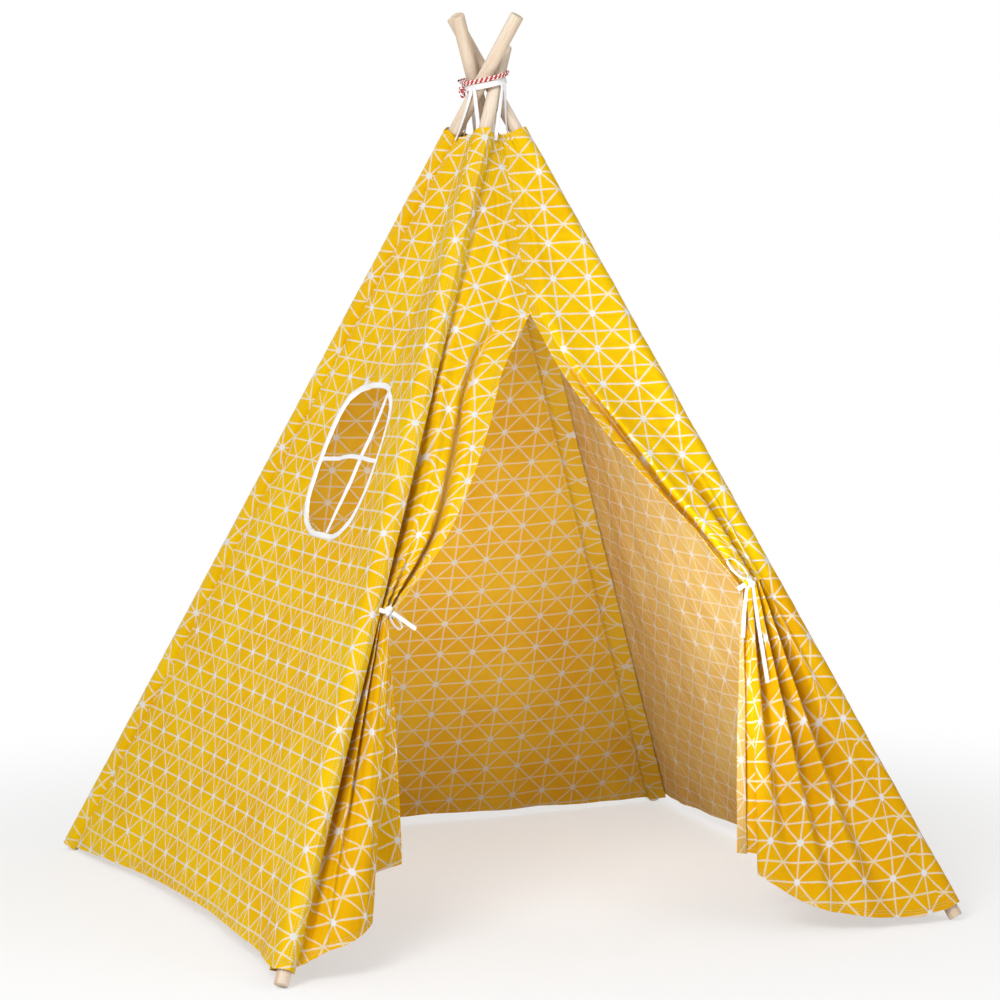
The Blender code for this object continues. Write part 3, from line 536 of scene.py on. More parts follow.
def weights(count, shares):
    """Cubic weights of a row of control values, one line for each share."""
    rows = np.zeros((len(shares), count))
    for line, share in enumerate(shares):
        place = min(max(share, 0), 1) * (count - 1)
        index = min(int(place), count - 2)
        t = place - index
        four = (
            (-t + 2 * t ** 2 - t ** 3) / 2, (2 - 5 * t ** 2 + 3 * t ** 3) / 2,
            (t + 4 * t ** 2 - 3 * t ** 3) / 2, (-t ** 2 + t ** 3) / 2)
        for offset, weight in enumerate(four):
            spot = index - 1 + offset
            if spot < 0:
                rows[line, 0] += 2 * weight
                rows[line, 1] -= weight
            elif spot > count - 1:
                rows[line, count - 1] += 2 * weight
                rows[line, count - 2] -= weight
            else:
                rows[line, spot] += weight
    return rows


def table(values, across, down):
    """Control values in lines and columns, made smooth both ways: an array of down by across."""
    values = np.array(values, float)
    return weights(values.shape[0], down) @ values @ weights(values.shape[1], across).T


def soft_step(value):
    value = np.clip(value, 0, 1)
    return value * value * (3 - 2 * value)


def ripple(x, y, seed):
    """Smooth noise in two directions, between about -1 and 1."""
    flat = [
        noise.fractal(Vector((a, b, seed * 7.31)), 0.6, 2.0, 2, noise_basis="PERLIN_ORIGINAL")
        for a, b in zip(np.ravel(x), np.ravel(y))]
    return np.array(flat).reshape(np.shape(x))


def puckers(tall, spacing, drift, seed):
    """Small waves along a seam, whose spacing drifts."""
    return np.sin(tall * (math.tau / spacing) + 3 * ripple(tall * drift, np.zeros_like(tall), seed))


def hump(value, middle, width):
    """1 at the middle, falling away on both sides."""
    return np.exp(-((value - middle) / width) ** 2)


def added_up(steps):
    return np.concatenate([[0], np.cumsum(steps)])


def to_door_edge(points):
    """The distance along each row to its last point."""
    steps = np.linalg.norm(np.diff(points, axis=1), axis=2)[:, ::-1].cumsum(axis=1)[:, ::-1]
    return np.concatenate([steps, np.zeros((len(points), 1))], axis=1)


def normals_of(points):
    down = np.gradient(points, axis=0)
    across = np.gradient(points, axis=1)
    made = np.cross(across, down)
    size = np.linalg.norm(made, axis=2, keepdims=True)
    return made / np.maximum(size, 1e-12)


def moved_out(points, move, outward, row, column):
    """The points moved off the sheet, to the side that faces outward at one of them."""
    direction = normals_of(points)
    if np.sum(direction[row, column] * np.array(outward)) < 0:
        direction = -direction
    return points + direction * move[..., None]


def mesh_sheet(name, points, prints, edges, outward, materials, thickness=SHEET, closed=False, keep=None):
    """A cloth sheet from arrays of points and UVs, with an outer and an inner face."""
    rows, columns = points.shape[:2]
    faces = []
    for row in range(rows - 1):
        for column in range(columns - 1):
            first = row * columns + column
            face = (first, first + 1, first + columns + 1, first + columns)
            if keep is None or keep[row, column]:
                faces.append(face)
    middle = normals_of(points)
    if np.sum(middle * np.array(outward)) < 0:
        faces = [face[::-1] for face in faces]
    mesh = bpy.data.meshes.new(name)
    mesh.from_pydata([tuple(p) for p in points.reshape(-1, 3)], [], faces)
    mesh.update()
    for label, values in (("Print", prints), ("Edge", edges)):
        layer = mesh.uv_layers.new(name=label)
        loops = np.zeros(len(mesh.loops), int)
        mesh.loops.foreach_get("vertex_index", loops)
        layer.data.foreach_set("uv", values.reshape(-1, 2)[loops].astype(np.float32).ravel())
    work = bmesh.new()
    work.from_mesh(mesh)
    loose = [v for v in work.verts if not v.link_faces]
    bmesh.ops.delete(work, geom=loose, context="VERTS")
    if closed:
        bmesh.ops.remove_doubles(work, verts=list(work.verts), dist=1e-6)
    work.to_mesh(mesh)
    work.free()
    item = bpy.data.objects.new(name, mesh)
    bpy.context.scene.collection.objects.link(item)
    for made in materials:
        mesh.materials.append(made)
    if thickness:
        shell = item.modifiers.new("thickness", "SOLIDIFY")
        shell.thickness = thickness
        shell.offset = 0
        if len(materials) > 1:
            shell.material_offset = 1
        graph = bpy.context.evaluated_depsgraph_get()
        final = bpy.data.meshes.new_from_object(item.evaluated_get(graph))
        item.modifiers.clear()
        item.data = final
    item.data.shade_smooth()
    item.data.set_sharp_from_angle(angle=math.radians(50))
    return item


def printed(flat, origin, angle, pitch):
    """Flat cloth places, in metres, as repeats of the print from a dot, turned by an angle."""
    u, v = flat[..., 0] - origin[0], flat[..., 1] - origin[1]
    turned = (u * math.cos(angle) + v * math.sin(angle), v * math.cos(angle) - u * math.sin(angle))
    return np.stack([turned[0] / pitch, turned[1] / pitch], axis=-1)


class Wall:
    """A whole wall between two poles. Seen from outside, the first pole is on its left."""

    def __init__(self, first, second, first_hem, second_hem, sag=WALL_SAG):
        self.first, self.second = poles[first], poles[second]
        self.hems = first_hem, second_hem
        out = (self.first.radial + self.second.radial).normalized()
        self.normal = out * math.cos(WALL_LEAN) + UP * math.sin(WALL_LEAN)
        level = Vector((self.second.foot.x - self.first.foot.x, self.second.foot.y - self.first.foot.y, 0))
        self.level = level.normalized()
        start, end = self.first.edge(0.5, self.second), self.second.edge(0.5, self.first)
        self.middle = ((start + end) / 2).dot(self.level)
        self.sag = sag

    def flat(self, place):
        """The flat cloth's own coordinates: from the middle line, and up the slope."""
        return place.dot(self.level) - self.middle, place.z * SLOPE

    def hem_at(self, share):
        bulge = math.sin(math.pi * min(1, share * 1.06))
        return self.hems[0] + (self.hems[1] - self.hems[0]) * share + HEM_ARCH * bulge

    def sag_at(self, across, height):
        """How far the wall hangs inwards."""
        fullness = math.sqrt(max(0.0, (CROSSING_HEIGHT - height) / CROSSING_HEIGHT))
        return self.sag * math.sin(math.pi * across) * fullness

    def point(self, across, height):
        """A point of the sagging wall: across is 0 and 1 on the sleeves' seams."""
        place = self.first.edge(height, self.second).lerp(self.second.edge(height, self.first), across)
        return place - self.normal * self.sag_at(across, height)

    def beside_window(self, along, rise):
        return self.point(*self.at_window(along, rise))

    def at_window(self, along, rise):
        height = WINDOW_HEIGHT + rise * math.cos(WALL_LEAN)
        back = self.first.edge(height, self.second).y
        front = self.second.edge(height, self.first).y
        return ((back + front) / 2 - WINDOW_FORWARD - along - back) / (front - back), height

    def in_window(self, place):
        """Where a point lies against the window: below 1 is inside its outline."""
        rise = (place.z - WINDOW_HEIGHT) / math.cos(WALL_LEAN)
        back = self.first.edge(place.z, self.second).y
        front = self.second.edge(place.z, self.first).y
        along = (back + front) / 2 - WINDOW_FORWARD - place.y
        share = (
            abs(along / (WINDOW_WIDTH / 2)) ** WINDOW_SQUARENESS
            + abs(rise / (WINDOW_SLOPE_LENGTH / 2)) ** WINDOW_SQUARENESS)
        return share ** (1 / WINDOW_SQUARENESS), along, rise


WALLS = {
    "left_wall": Wall("back_left", "front_left", BACK_HEM_HEIGHT, FRONT_HEM_HEIGHT),
    "back_wall": Wall("back_right", "back_left", BACK_HEM_HEIGHT, BACK_HEM_HEIGHT),
    "right_wall": Wall("front_right", "back_right", FRONT_HEM_HEIGHT, BACK_HEM_HEIGHT),
}
FRONT_PLANE = Wall("front_left", "front_right", FRONT_HEM_HEIGHT, FRONT_HEM_HEIGHT, 0.0)


class Wrap:
    """Cloth that runs off a wall's plane, over its second pole's sleeve and into the groove behind it."""

    def __init__(self, pole, first, normal, onward):
        self.back = pole.across(first)
        self.face = (normal - pole.axis * normal.dot(pole.axis)).normalized()
        self.face = (self.face - self.back * self.face.dot(self.back)).normalized()
        self.away = -self.back
        ahead = pole.across(onward)
        self.groove = math.atan2(ahead.dot(self.away), ahead.dot(self.face)) % math.tau

    def around(self, turn, radius):
        return self.face * (math.cos(turn) * radius) + self.away * (math.sin(turn) * radius)

    def end(self, start):
        """How far past the pole's axis the unrolled cloth ends, as a negative reach."""
        return self.past(start, self.groove)

    def past(self, start, turn):
        """The unrolled cloth's reach at a turn round the pole."""
        swing = math.asin(WRAP_RADIUS / start)
        return start - math.sqrt(start ** 2 - WRAP_RADIUS ** 2) - WRAP_RADIUS * (swing + turn)

    def place(self, reach, start, soft=0.0):
        """Where unrolled cloth goes: its reach and lift in the plane, or its turn and radius on the pole."""
        swing = math.asin(WRAP_RADIUS / start)
        run = math.sqrt(start ** 2 - WRAP_RADIUS ** 2)
        ahead = start - reach
        eased = (ahead + math.sqrt(ahead ** 2 + soft ** 2)) / 2
        if ahead <= 0:
            return "flat", reach, math.sin(swing) * eased
        if ahead <= run:
            return "flat", start - ahead * math.cos(swing), math.sin(swing) * eased
        extra = math.sin(swing) * ((run + math.sqrt(run ** 2 + soft ** 2)) / 2 - run)
        arc = ahead - run
        turn = arc / WRAP_RADIUS - swing
        lip = 0.0016 * math.exp(-((turn - LIP_TURN) / 0.15) ** 2)
        lip -= 0.0014 * float(soft_step((turn - 1.6) / 0.35))
        return "round", turn, WRAP_RADIUS + lip + extra * math.exp(-arc / 0.012)


def wrap_row(wall, wrap, height):
    """A wall's line at one height: its start, direction and width, and how it leaves the plane and ends."""
    start, end = wall.first.edge(height, wall.second), wall.second.edge(height, wall.first)
    ahead, width = (end - start).normalized(), (end - start).length
    slant = abs(ahead.dot(wrap.back))
    leave = (width + SEAM_LAP) * slant + EDGE_REACH
    return start, ahead, width, slant, wrap.end(leave), leave


def wall_sheet(name, wall, onward, columns, rows, seed):
    """One whole wall, from beside its first pole's sleeve to the groove behind the second's."""
    wrap = Wrap(wall.second, wall.first, wall.normal, onward)
    shares = np.linspace(0, 1, columns + 1)
    ups = np.linspace(0, 1, rows + 1)
    points = np.zeros((rows + 1, columns + 1, 3))
    flat = np.zeros((rows + 1, columns + 1, 2))
    edge = np.zeros((rows + 1, columns + 1, 2))
    reach = np.zeros((rows + 1, columns + 1))
    aside = np.zeros((rows + 1, columns + 1))
    for i, up in enumerate(ups):
        for j, share in enumerate(shares):
            hem = wall.hem_at(share)
            top = COVER_TOP_HEIGHT + 0.0022 * math.sin(share * 23 + seed)
            height = hem + (top - hem) * up
            start, ahead, width, slant, last, leave = wrap_row(wall, wrap, height)
            run = share * (width + (EDGE_REACH - last) / slant + SEAM_LAP) - SEAM_LAP
            gap = (width - run) * slant + EDGE_REACH
            kind, spot, lift = wrap.place(gap, leave)
            if kind == "flat":
                onto = start + ahead * (width - (spot - EDGE_REACH) / slant)
                sag = wall.sag_at(min(1, max(0, run / width)), height)
                points[i, j] = onto + wrap.face * lift - wall.normal * sag
                flat[i, j] = wall.flat(start + ahead * run)
            else:
                station = wall.second.beside(start + ahead * (width + EDGE_REACH / slant))
                points[i, j] = wall.second.at(station) + wrap.around(spot, lift)
                flat[i, j] = wall.flat(wall.second.at(station) + wrap.back * gap)
            reach[i, j] = gap
            aside[i, j] = run
            hem_gap, top_gap = (height - hem) * SLOPE, (top - height) * SLOPE
            seam = abs(gap - wrap.past(leave, LIP_TURN)) + 0.0045
            nearest = min(run + SEAM_LAP, hem_gap, top_gap, seam)
            edge[i, j] = (nearest, run if nearest in (hem_gap, top_gap) else height * SLOPE)
    tall = flat[..., 1]
    fan = shares[None, :] * np.ones((rows + 1, 1))
    ease = soft_step(aside / 0.06) * soft_step((reach - 0.02) / 0.07)
    move = 0.0056 * ripple(fan * 3.1, tall * 2.0, seed)
    move += 0.0034 * ripple(fan * 10.0 + tall * 1.5, tall * 2.2, seed + 1)
    move *= ease
    move += 0.0010 * ripple(flat[..., 0] * 24, tall * 24, seed + 2) * (0.35 + 0.65 * ease)
    pucker = puckers(tall, 0.024, 9, seed + 3)
    rough = 0.6 + 0.5 * ripple(tall * 5, fan * 0, seed + 4)
    move += 0.0011 * rough * pucker * hump(reach, 0.050, 0.014)
    move += 0.0007 * rough * pucker * hump(reach, -0.002, 0.016)
    move += 0.0014 * rough * puckers(tall, 0.027, 8, seed + 6) * hump(aside, 0.016, 0.018)
    move += 0.006 * hump(tall, tall[0], 0.16) * ripple(fan * 6.5, tall * 1.2, seed + 5) * ease
    points = moved_out(points, move, wall.normal, rows // 2, columns // 3)
    return points, printed(flat, *WALL_PRINTS[name]), edge, flat


def dress(item, body, node):
    """Puts a piece on its body, in place of its node of the frame."""
    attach(item, body)
    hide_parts(node)


def pole_axis_squash(item, corner, other):
    """Gives the piece its own copy of its mesh; no cloth is gathered to the pole."""
    pole = poles[corner]
    tuple(pole.across(poles[other]))
    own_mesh(item)


def build_walls(outer, inner, pale):
    """The three whole walls. The left one is returned too, for the window's trim."""
    plan = {
        "left_wall": ("back_left", "front_left", "front_right", 230, 250),
        "back_wall": ("back_right", "back_left", "front_left", 170, 170),
        "right_wall": ("front_right", "back_right", "back_left", 170, 170),
    }
    kept = None
    for step, (name, (body, other, onward, columns, rows)) in enumerate(plan.items()):
        wall = WALLS[name]
        points, prints, edge, flat = wall_sheet(name, wall, poles[onward], columns, rows, step * 10 + 3)
        keep = None
        if name == "left_wall":
            kept = points.copy()
            keep = cut_window(wall, points, kept, edge)
        # The right wall's lining is the paler copy of the inside cloth, with painted light
        lining = pale if name == "right_wall" else inner
        item = mesh_sheet(name + "_cloth", points, prints, edge, wall.normal, [outer, lining], keep=keep)
        dress(item, body + "_pole", name)
        pole_axis_squash(item, body, other)
    return kept


def on_surface(wall, points, along, rise, stand):
    """A point on the finished left wall's own surface, at a place of the window."""
    across, height = wall.at_window(along, rise)
    wrap = Wrap(wall.second, wall.first, wall.normal, poles["front_right"])
    _, _, width, slant, last, _ = wrap_row(wall, wrap, height)
    share = (across * width + SEAM_LAP) / (width + (EDGE_REACH - last) / slant + SEAM_LAP)
    hem = wall.hem_at(share)
    up = (height - hem) / (COVER_TOP_HEIGHT - hem)
    row, column = up * (points.shape[0] - 1), share * (points.shape[1] - 1)
    i, j = int(row), int(column)
    a, b = row - i, column - j
    patch = points[i:i + 2, j:j + 2]
    place = (patch[0, 0] * (1 - a) * (1 - b) + patch[0, 1] * (1 - a) * b
             + patch[1, 0] * a * (1 - b) + patch[1, 1] * a * b)
    return Vector(place) + wall.normal * stand


def cut_window(wall, points, surface, edge):
    """Opens the window: faces inside go, and the vertices round it move onto its outline."""
    rows, columns = points.shape[:2]
    keep = np.ones((rows - 1, columns - 1), bool)
    share = np.full((rows, columns), 9.0)
    spots = {}
    for i in range(rows):
        for j in range(columns):
            place = Vector(surface[i, j])
            if abs(place.z - WINDOW_HEIGHT) < 0.2:
                share[i, j], along, rise = wall.in_window(place)
                spots[i, j] = (along, rise)
                rim = (share[i, j] - 1) * 0.13
                if 0 < rim < edge[i, j, 0]:
                    edge[i, j] = (rim, math.atan2(rise, along) * 0.13)
    for i in range(rows - 1):
        for j in range(columns - 1):
            if share[i:i + 2, j:j + 2].mean() < 1:
                keep[i, j] = False
    for (i, j), (along, rise) in spots.items():
        around = keep[max(0, i - 1):i + 1, max(0, j - 1):j + 1]
        if around.any() and not around.all():
            grow = 1 / share[i, j]
            points[i, j] = on_surface(wall, surface, along * grow, rise * grow, 0)
    return keep


def sleeve_sheet(corner, wall, onward, outer, inner):
    """A pole's sleeve: a tube of cloth that carries on its wall's print round the pole."""
    pole = wall.second
    wrap = Wrap(pole, wall.first, wall.normal, onward)
    start = FRONT_SLEEVE_START if corner.startswith("front") else BACK_SLEEVE_START
    end = pole.station_of(COVER_TOP_HEIGHT)
    sides, rows = 64, 300
    turns = np.linspace(wrap.groove - math.tau, wrap.groove, sides + 1)
    stations = np.linspace(start, end, rows + 1)
    grid_turn, grid_station = np.meshgrid(turns, stations)
    seed = list(CORNERS).index(corner) * 5 + 60
    swell = 0.0004 * ripple(np.cos(grid_turn) * 1.2 + grid_station * 9, np.sin(grid_turn) * 1.2, seed)
    swell += 0.0003 * ripple(grid_station * 42, grid_turn * 0.8, seed + 1)
    from_seam = np.minimum(grid_turn - turns[0], turns[-1] - grid_turn)
    radius = SLEEVE_RADIUS + swell * np.minimum(1, from_seam / 0.5)
    # Under a whole wall the sleeve is drawn out to a tip that fills the space behind the wall
    for i in range(rows + 1 if wall is not FRONT_PLANE else 0):
        *_, leave = wrap_row(wall, wrap, pole.at(stations[i]).z)
        lift = wrap.place(SLEEVE_TIP, leave)[2] - 0.0030
        tip, spread = math.atan2(-SLEEVE_TIP, lift), math.acos(SLEEVE_RADIUS / math.hypot(SLEEVE_TIP, lift))
        off = np.abs(turns - tip)
        drawn = radius[i] / np.cos(np.minimum(spread - off, spread) * 0.999)
        radius[i] = np.where(off < spread, drawn, radius[i])
    points = np.zeros((rows + 1, sides + 1, 3))
    flat = np.zeros((rows + 1, sides + 1, 2))
    for i in range(rows + 1):
        base = pole.at(stations[i])
        for j in range(sides + 1):
            points[i, j] = base + wrap.around(turns[j], radius[i, j])
            flat[i, j] = wall.flat(base - wrap.back * (SLEEVE_RADIUS * turns[j]))
    edge = np.stack([(wrap.groove - grid_turn) * SLEEVE_RADIUS, grid_station], axis=-1)
    if wall is FRONT_PLANE:
        prints = printed(flat, *PANEL_PRINTS["right"])
    else:
        key = next(k for k, w in WALLS.items() if w is wall)
        prints = printed(flat, *WALL_PRINTS[key])
    item = mesh_sheet(corner + "_sleeve_cloth", points, prints, edge, wrap.face, [outer, inner],
                      thickness=SLEEVE_SHEET, closed=True)
    outward = wall.normal + Wall(wall.second.corner, onward.corner, 0, 0).normal
    for face in item.data.polygons:
        out = face.center - pole.foot
        out = out - pole.axis * out.dot(pole.axis)
        face.material_index = 0 if out.dot(outward) > 0.3 * out.length else 1
    dress(item, corner + "_pole", corner + "_sleeve")


class Door:
    """One half of the slit front, drawn aside to its pole and tied."""

    def __init__(self, side):
        self.side = side
        other = "right" if side == "left" else "left"
        self.corner, self.other_corner = f"front_{side}", f"front_{other}"
        self.pole, self.other = poles[self.corner], poles[self.other_corner]
        self.gather = GATHERS[side]
        self.inward = self.pole.across(self.other)
        self.forward = self.inward.cross(self.pole.axis)
        if self.forward.dot(FRONT) < 0:
            self.forward.negate()
        tie_height = TIE_HEIGHTS[side]
        self.tie_station = self.pole.station_of(tie_height)
        self.panel_end = self.tie_station - TIE_BAND_WIDTH / 2
        self.band_reach = EDGE_REACH + self.gather - GATHER_DEPTH / 2
        shares = EDGE_SHARES[side]
        self.edge_points = []
        for step, out in enumerate(shares):
            height = SLIT_TOP_HEIGHT - (SLIT_TOP_HEIGHT - tie_height) * step / len(shares)
            self.edge_points.append(self.seam(height).lerp(self.pole.edge(height, self.other), out))
        self.edge_points.append(self.tied(1, self.panel_end, 0))
        self.hem_points = [self.at_hem(*place) for place in zip(*HEMS[side])]

    def at_hem(self, out, ahead, height):
        return self.pole.edge(height, self.other).lerp(self.seam(height), out) + FRONT * ahead

    def seam(self, height):
        middle = FRONT_PLANE.point(0.5, height)
        own_side = self.pole.edge(height, self.other) - middle
        return middle + own_side.normalized() * (SEAM_GAP / 2)

    def half(self, height):
        """The flat width of this half at a height."""
        return (self.seam(height) - self.pole.edge(height, self.other)).length

    def tied(self, across, station, stand):
        reach = EDGE_REACH + self.gather * across
        return self.pole.at(station) + self.inward * reach + self.forward * stand

    def hem_out(self, across):
        ahead = cubic(self.hem_points, across + 0.01)
        behind = cubic(self.hem_points, across - 0.01)
        return (ahead - behind).cross(UP).normalized() * math.copysign(1, self.inward.x)

    def knot_place(self):
        stand = BAND_BEND + RIBBON / 2 + FIT_GAP + BOW_KNOT_RADIUS
        reach = self.band_reach - BOW_KNOT_BACK
        return self.pole.at(self.tie_station) + self.inward * reach + self.forward * stand

    def beside_knot(self, heading):
        along = heading.dot(self.pole.axis)
        reach = BOW_KNOT_RADIUS * math.sqrt(1 - along ** 2 + (along * BOW_KNOT_STRETCH) ** 2)
        return self.knot_place() + heading * (reach + FIT_GAP)

    def wrapped(self, line, station):
        """The right half's line lifted over its pole, and the flat places of the columns that go round it."""
        wrap = Wrap(self.pole, self.other, FRONT_PLANE.normal, poles["back_right"])
        base = self.pole.at(station)
        far = (line[-1] - base).dot(self.inward)
        start = min(WRAP_START, max(WRAP_RADIUS * 1.25, 0.9 * far))
        made = []
        for place in line:
            reach = (place - self.pole.at(self.pole.beside(place))).dot(self.inward)
            _, spot, lift = wrap.place(reach, start, WRAP_SOFTNESS * start)
            share = soft_step((far - reach) / 0.015)
            made.append(place + (self.inward * (spot - reach) + wrap.face * lift) * float(share))
        last, first = wrap.end(start), (line[0] - base).dot(self.inward)
        extra, flats = [], []
        for k in range(WRAP_COLUMNS):
            reach = last + (first - last) * k / WRAP_COLUMNS
            kind, spot, lift = wrap.place(reach, start, WRAP_SOFTNESS * start)
            if kind == "flat":
                extra.append(base + self.inward * spot + wrap.face * lift)
            else:
                extra.append(base + wrap.around(spot, lift))
            flats.append(FRONT_PLANE.flat(base + self.inward * reach))
        return extra + made, flats


# Folds of the two front panels. Each line is a quarter of the way from the slit's top to the tie. A fold has
# its share of the way from the sleeve to the door edge, and how far it stands in front of the cover, in mm.
PANEL_FOLDS = {
    "left": (
        ((0, .05, .12, .28, .45, .64, .74, .88, 1), (0, -5, 2, 1, 2, -4, 3, 1, 0)),
        ((0, .05, .11, .26, .40, .52, .62, .84, 1), (0, -14, 6, 2, 4, -17, 8, 5, 0)),
        ((0, .11, .23, .36, .47, .61, .72, .87, 1), (0, -28, 12, 9, 6, -16, 10, 5, 0)),
        ((0, .11, .22, .34, .56, .72, .80, .91, 1), (0, -30, 12, 9, 10, -18, 9, 6, 0)),
        ((0, .09, .22, .36, .50, .62, .74, .88, 1), (0, -15, 11, -8, 11, -10, 9, 5, 0)),
    ),
    "right": (
        ((0, .12, .27, .43, .60, .75, .83, .88, .94, 1), (0, 0, .5, 1, 1, 2, 1, -1, -1, 0)),
        ((0, .11, .24, .40, .60, .79, .80, .81, .90, 1), (0, 0, 1, 2, 4, 7, -1, -8, -2, 0)),
        ((0, .10, .22, .36, .55, .77, .68, .66, .82, 1), (0, 0, 2, 6, 11, 14, -10, -28, -9, 0)),
        ((0, .10, .20, .36, .62, .86, .75, .73, .90, 1), (0, 3, -15, 9, 15, 16, -10, -26, -11, -1)),
        ((0, .15, .28, .42, .62, .86, .76, .78, .92, 1), (0, 7, -12, 6, 11, 13, -6, -12, -5, -2)),
    ),
}
# The column after which a panel's cloth belongs to the strip along the door edge, and not to the pole's side
STRIP_COLUMNS = {"left": 5, "right": 7}


def panel_sheet(door, outer, inner):
    """A half of the front above its tie: flat above the slit, then folded in towards the ribbon."""
    side = door.side
    folds = PANEL_FOLDS[side]
    columns, flat_rows, rows = 150, 64, 170
    shares = np.linspace(0, 1, columns + 1)
    downs = np.linspace(0, 1, rows + 1)
    place_share = table([line[0] for line in folds], shares, downs)
    stand = table([line[1] for line in folds], shares, downs) / 1000
    count = len(folds[0][0])
    strip = STRIP_COLUMNS[side] / (count - 1)
    points, flat, stations = [], [], []
    slit = door.pole.station_of(SLIT_TOP_HEIGHT)
    edge_line = [cubic(door.edge_points, s) for s in downs]
    lengths = added_up([(b - a).length for a, b in zip(edge_line, edge_line[1:])])
    sign = 1 if side == "right" else -1
    for step in range(flat_rows):
        height = COVER_TOP_HEIGHT + (SLIT_TOP_HEIGHT - COVER_TOP_HEIGHT) * step / flat_rows
        start, end = door.pole.edge(height, door.other), door.seam(height)
        ease = soft_step(step / flat_rows) ** 2
        line, flats = [], []
        for j, share in enumerate(shares):
            spot = float(share + (place_share[0, j] - share) * ease)
            top = 0.0020 * math.sin(share * 17 + sign) * max(0, 1 - step / 8)
            line.append(start.lerp(end, spot) + door.forward * float(stand[0, j] * ease) + UP * top)
            flats.append(FRONT_PLANE.flat(start.lerp(end, spot)))
        points.append(line)
        flat.append(flats)
        stations.append(door.pole.station_of(height))
    for i, down in enumerate(downs):
        station = slit + (door.panel_end - slit) * down
        start = door.pole.at(station) + door.inward * EDGE_REACH
        end = edge_line[i]
        reach = (end - start).length
        width = door.half(start.z)
        gathered = float(soft_step((down - 0.72) / 0.28))
        line, flats = [], []
        for j, share in enumerate(shares):
            spot = float(place_share[i, j])
            place = start.lerp(end, spot)
            line.append(place + door.forward * float(stand[i, j]))
            near = FRONT_PLANE.flat(place)
            far = (sign * (1 - spot) * reach, SLIT_TOP_HEIGHT * SLOPE - lengths[i])
            belongs = float(soft_step((share - strip) * (count - 1) + 0.5))
            even = (sign * width * (1 - share), near[1] + (far[1] - near[1]) * share)
            pair = [near[k] + (far[k] - near[k]) * belongs for k in range(2)]
            flats.append([pair[k] + (even[k] - pair[k]) * gathered for k in range(2)])
        points.append(line)
        flat.append(flats)
        stations.append(station)
    if side == "right":
        made = [door.wrapped(line, station) for line, station in zip(points, stations)]
        points = [line for line, _ in made]
        flat = [extra + flats for (_, extra), flats in zip(made, flat)]
    points = np.array([[tuple(p) for p in line] for line in points])
    flat = np.array(flat, float)
    tall = flat[..., 1]
    seed = 31 if side == "left" else 47
    fan = np.linspace(0, 1, points.shape[1])[None, :] * np.ones((len(points), 1))
    bases = np.array([tuple(door.pole.at(s)) for s in stations])
    reach = np.sum((points - bases[:, None, :]) * np.array(door.inward), axis=2)
    skip = WRAP_COLUMNS if side == "right" else 0
    in_cloth = np.where(np.arange(points.shape[1])[None, :] < skip, 0.0, reach)
    sideways = to_door_edge(points)
    ease = soft_step((in_cloth - 0.02) / 0.05) * soft_step(sideways / 0.03)
    move = 0.0024 * ripple(fan * 5, tall * 5, seed) * ease
    move += 0.0009 * ripple(flat[..., 0] * 24, tall * 24, seed + 1)
    pucker = puckers(tall, 0.023, 9, seed + 3)
    move += 0.0010 * pucker * hump(in_cloth, 0.028, 0.016)
    move += 0.0006 * pucker * hump(sideways, 0.010, 0.010)
    points = moved_out(points, move, door.forward, 10, -20)
    along = added_up(np.linalg.norm(np.diff(points[:, -1], axis=0), axis=1))
    edge = np.stack([sideways, np.repeat(along[:, None], points.shape[1], axis=1)], axis=-1)
    top_gap = COVER_TOP_HEIGHT * SLOPE - tall
    nearer = top_gap < edge[..., 0]
    edge[..., 0] = np.where(nearer, top_gap, edge[..., 0])
    edge[..., 1] = np.where(nearer, flat[..., 0], edge[..., 1])
    seam_gap = np.maximum(0, in_cloth - EDGE_REACH)
    if side == "right":
        seam_gap = np.arange(points.shape[1])[None, :] * 0.0023 * np.ones((len(points), 1))
    nearer = seam_gap < edge[..., 0]
    edge[..., 0] = np.where(nearer, seam_gap, edge[..., 0])
    edge[..., 1] = np.where(nearer, tall, edge[..., 1])
    prints = printed(flat, *PANEL_PRINTS[side])
    item = mesh_sheet(f"{side}_front_panel_cloth", points, prints, edge, door.forward, [outer, inner])
    dress(item, f"{door.corner}_pole", f"{side}_front_panel")
    width = door.half(TIE_HEIGHTS[side]) + (WRAP_STRIP if side == "right" else 0)
    pole_axis_squash(item, door.corner, door.other_corner)


# Folds of the two tied curtains, from the pole to the free edge. Each has its share across the gather and
# its stand there, its extra stand half way down, and its place on the hem: share of the half's width, how
# far it stands in front of the cover, and its height. Stands are in mm.
CURTAIN_FOLDS = {
    "left": (
        (0, 0, 0, 0, 0, .034), (.05, -20, -24, .030, -2, .040), (.16, 4, -1, .060, 8, .050),
        (.24, -13, -7, .090, 8, .056), (.38, 9, 2, .130, 15, .063), (.60, 11, 3, .184, 6, .075),
        (.80, 9, 5, .222, -20, .088), (.74, -5, 0, .195, -58, .118), (.78, -9, 0, .205, -90, .132),
        (.90, -9, 2, .288, -112, .139), (1, -8, 4, .373, -130, .144)),
    "right": (
        (0, 0, 0, 0, 0, .022), (.08, 3, 2, .090, 10, .018), (.17, -17, -19, .170, 11, .021),
        (.27, 10, 5, .250, 23, .028), (.35, -16, -14, .320, 14, .036), (.45, 11, 4, .380, 20, .045),
        (.53, -14, -12, .440, 4, .060), (.64, 9, 1, .490, -2, .082), (.78, 10, 1, .528, -18, .100),
        (.71, -4, 0, .470, -50, .104), (.74, -10, 0, .425, -80, .110), (.88, -8, 0, .467, -100, .118),
        (1, -6, 0, .509, -112, .118), (.95, 1, 0, .484, -101, .117)),
}


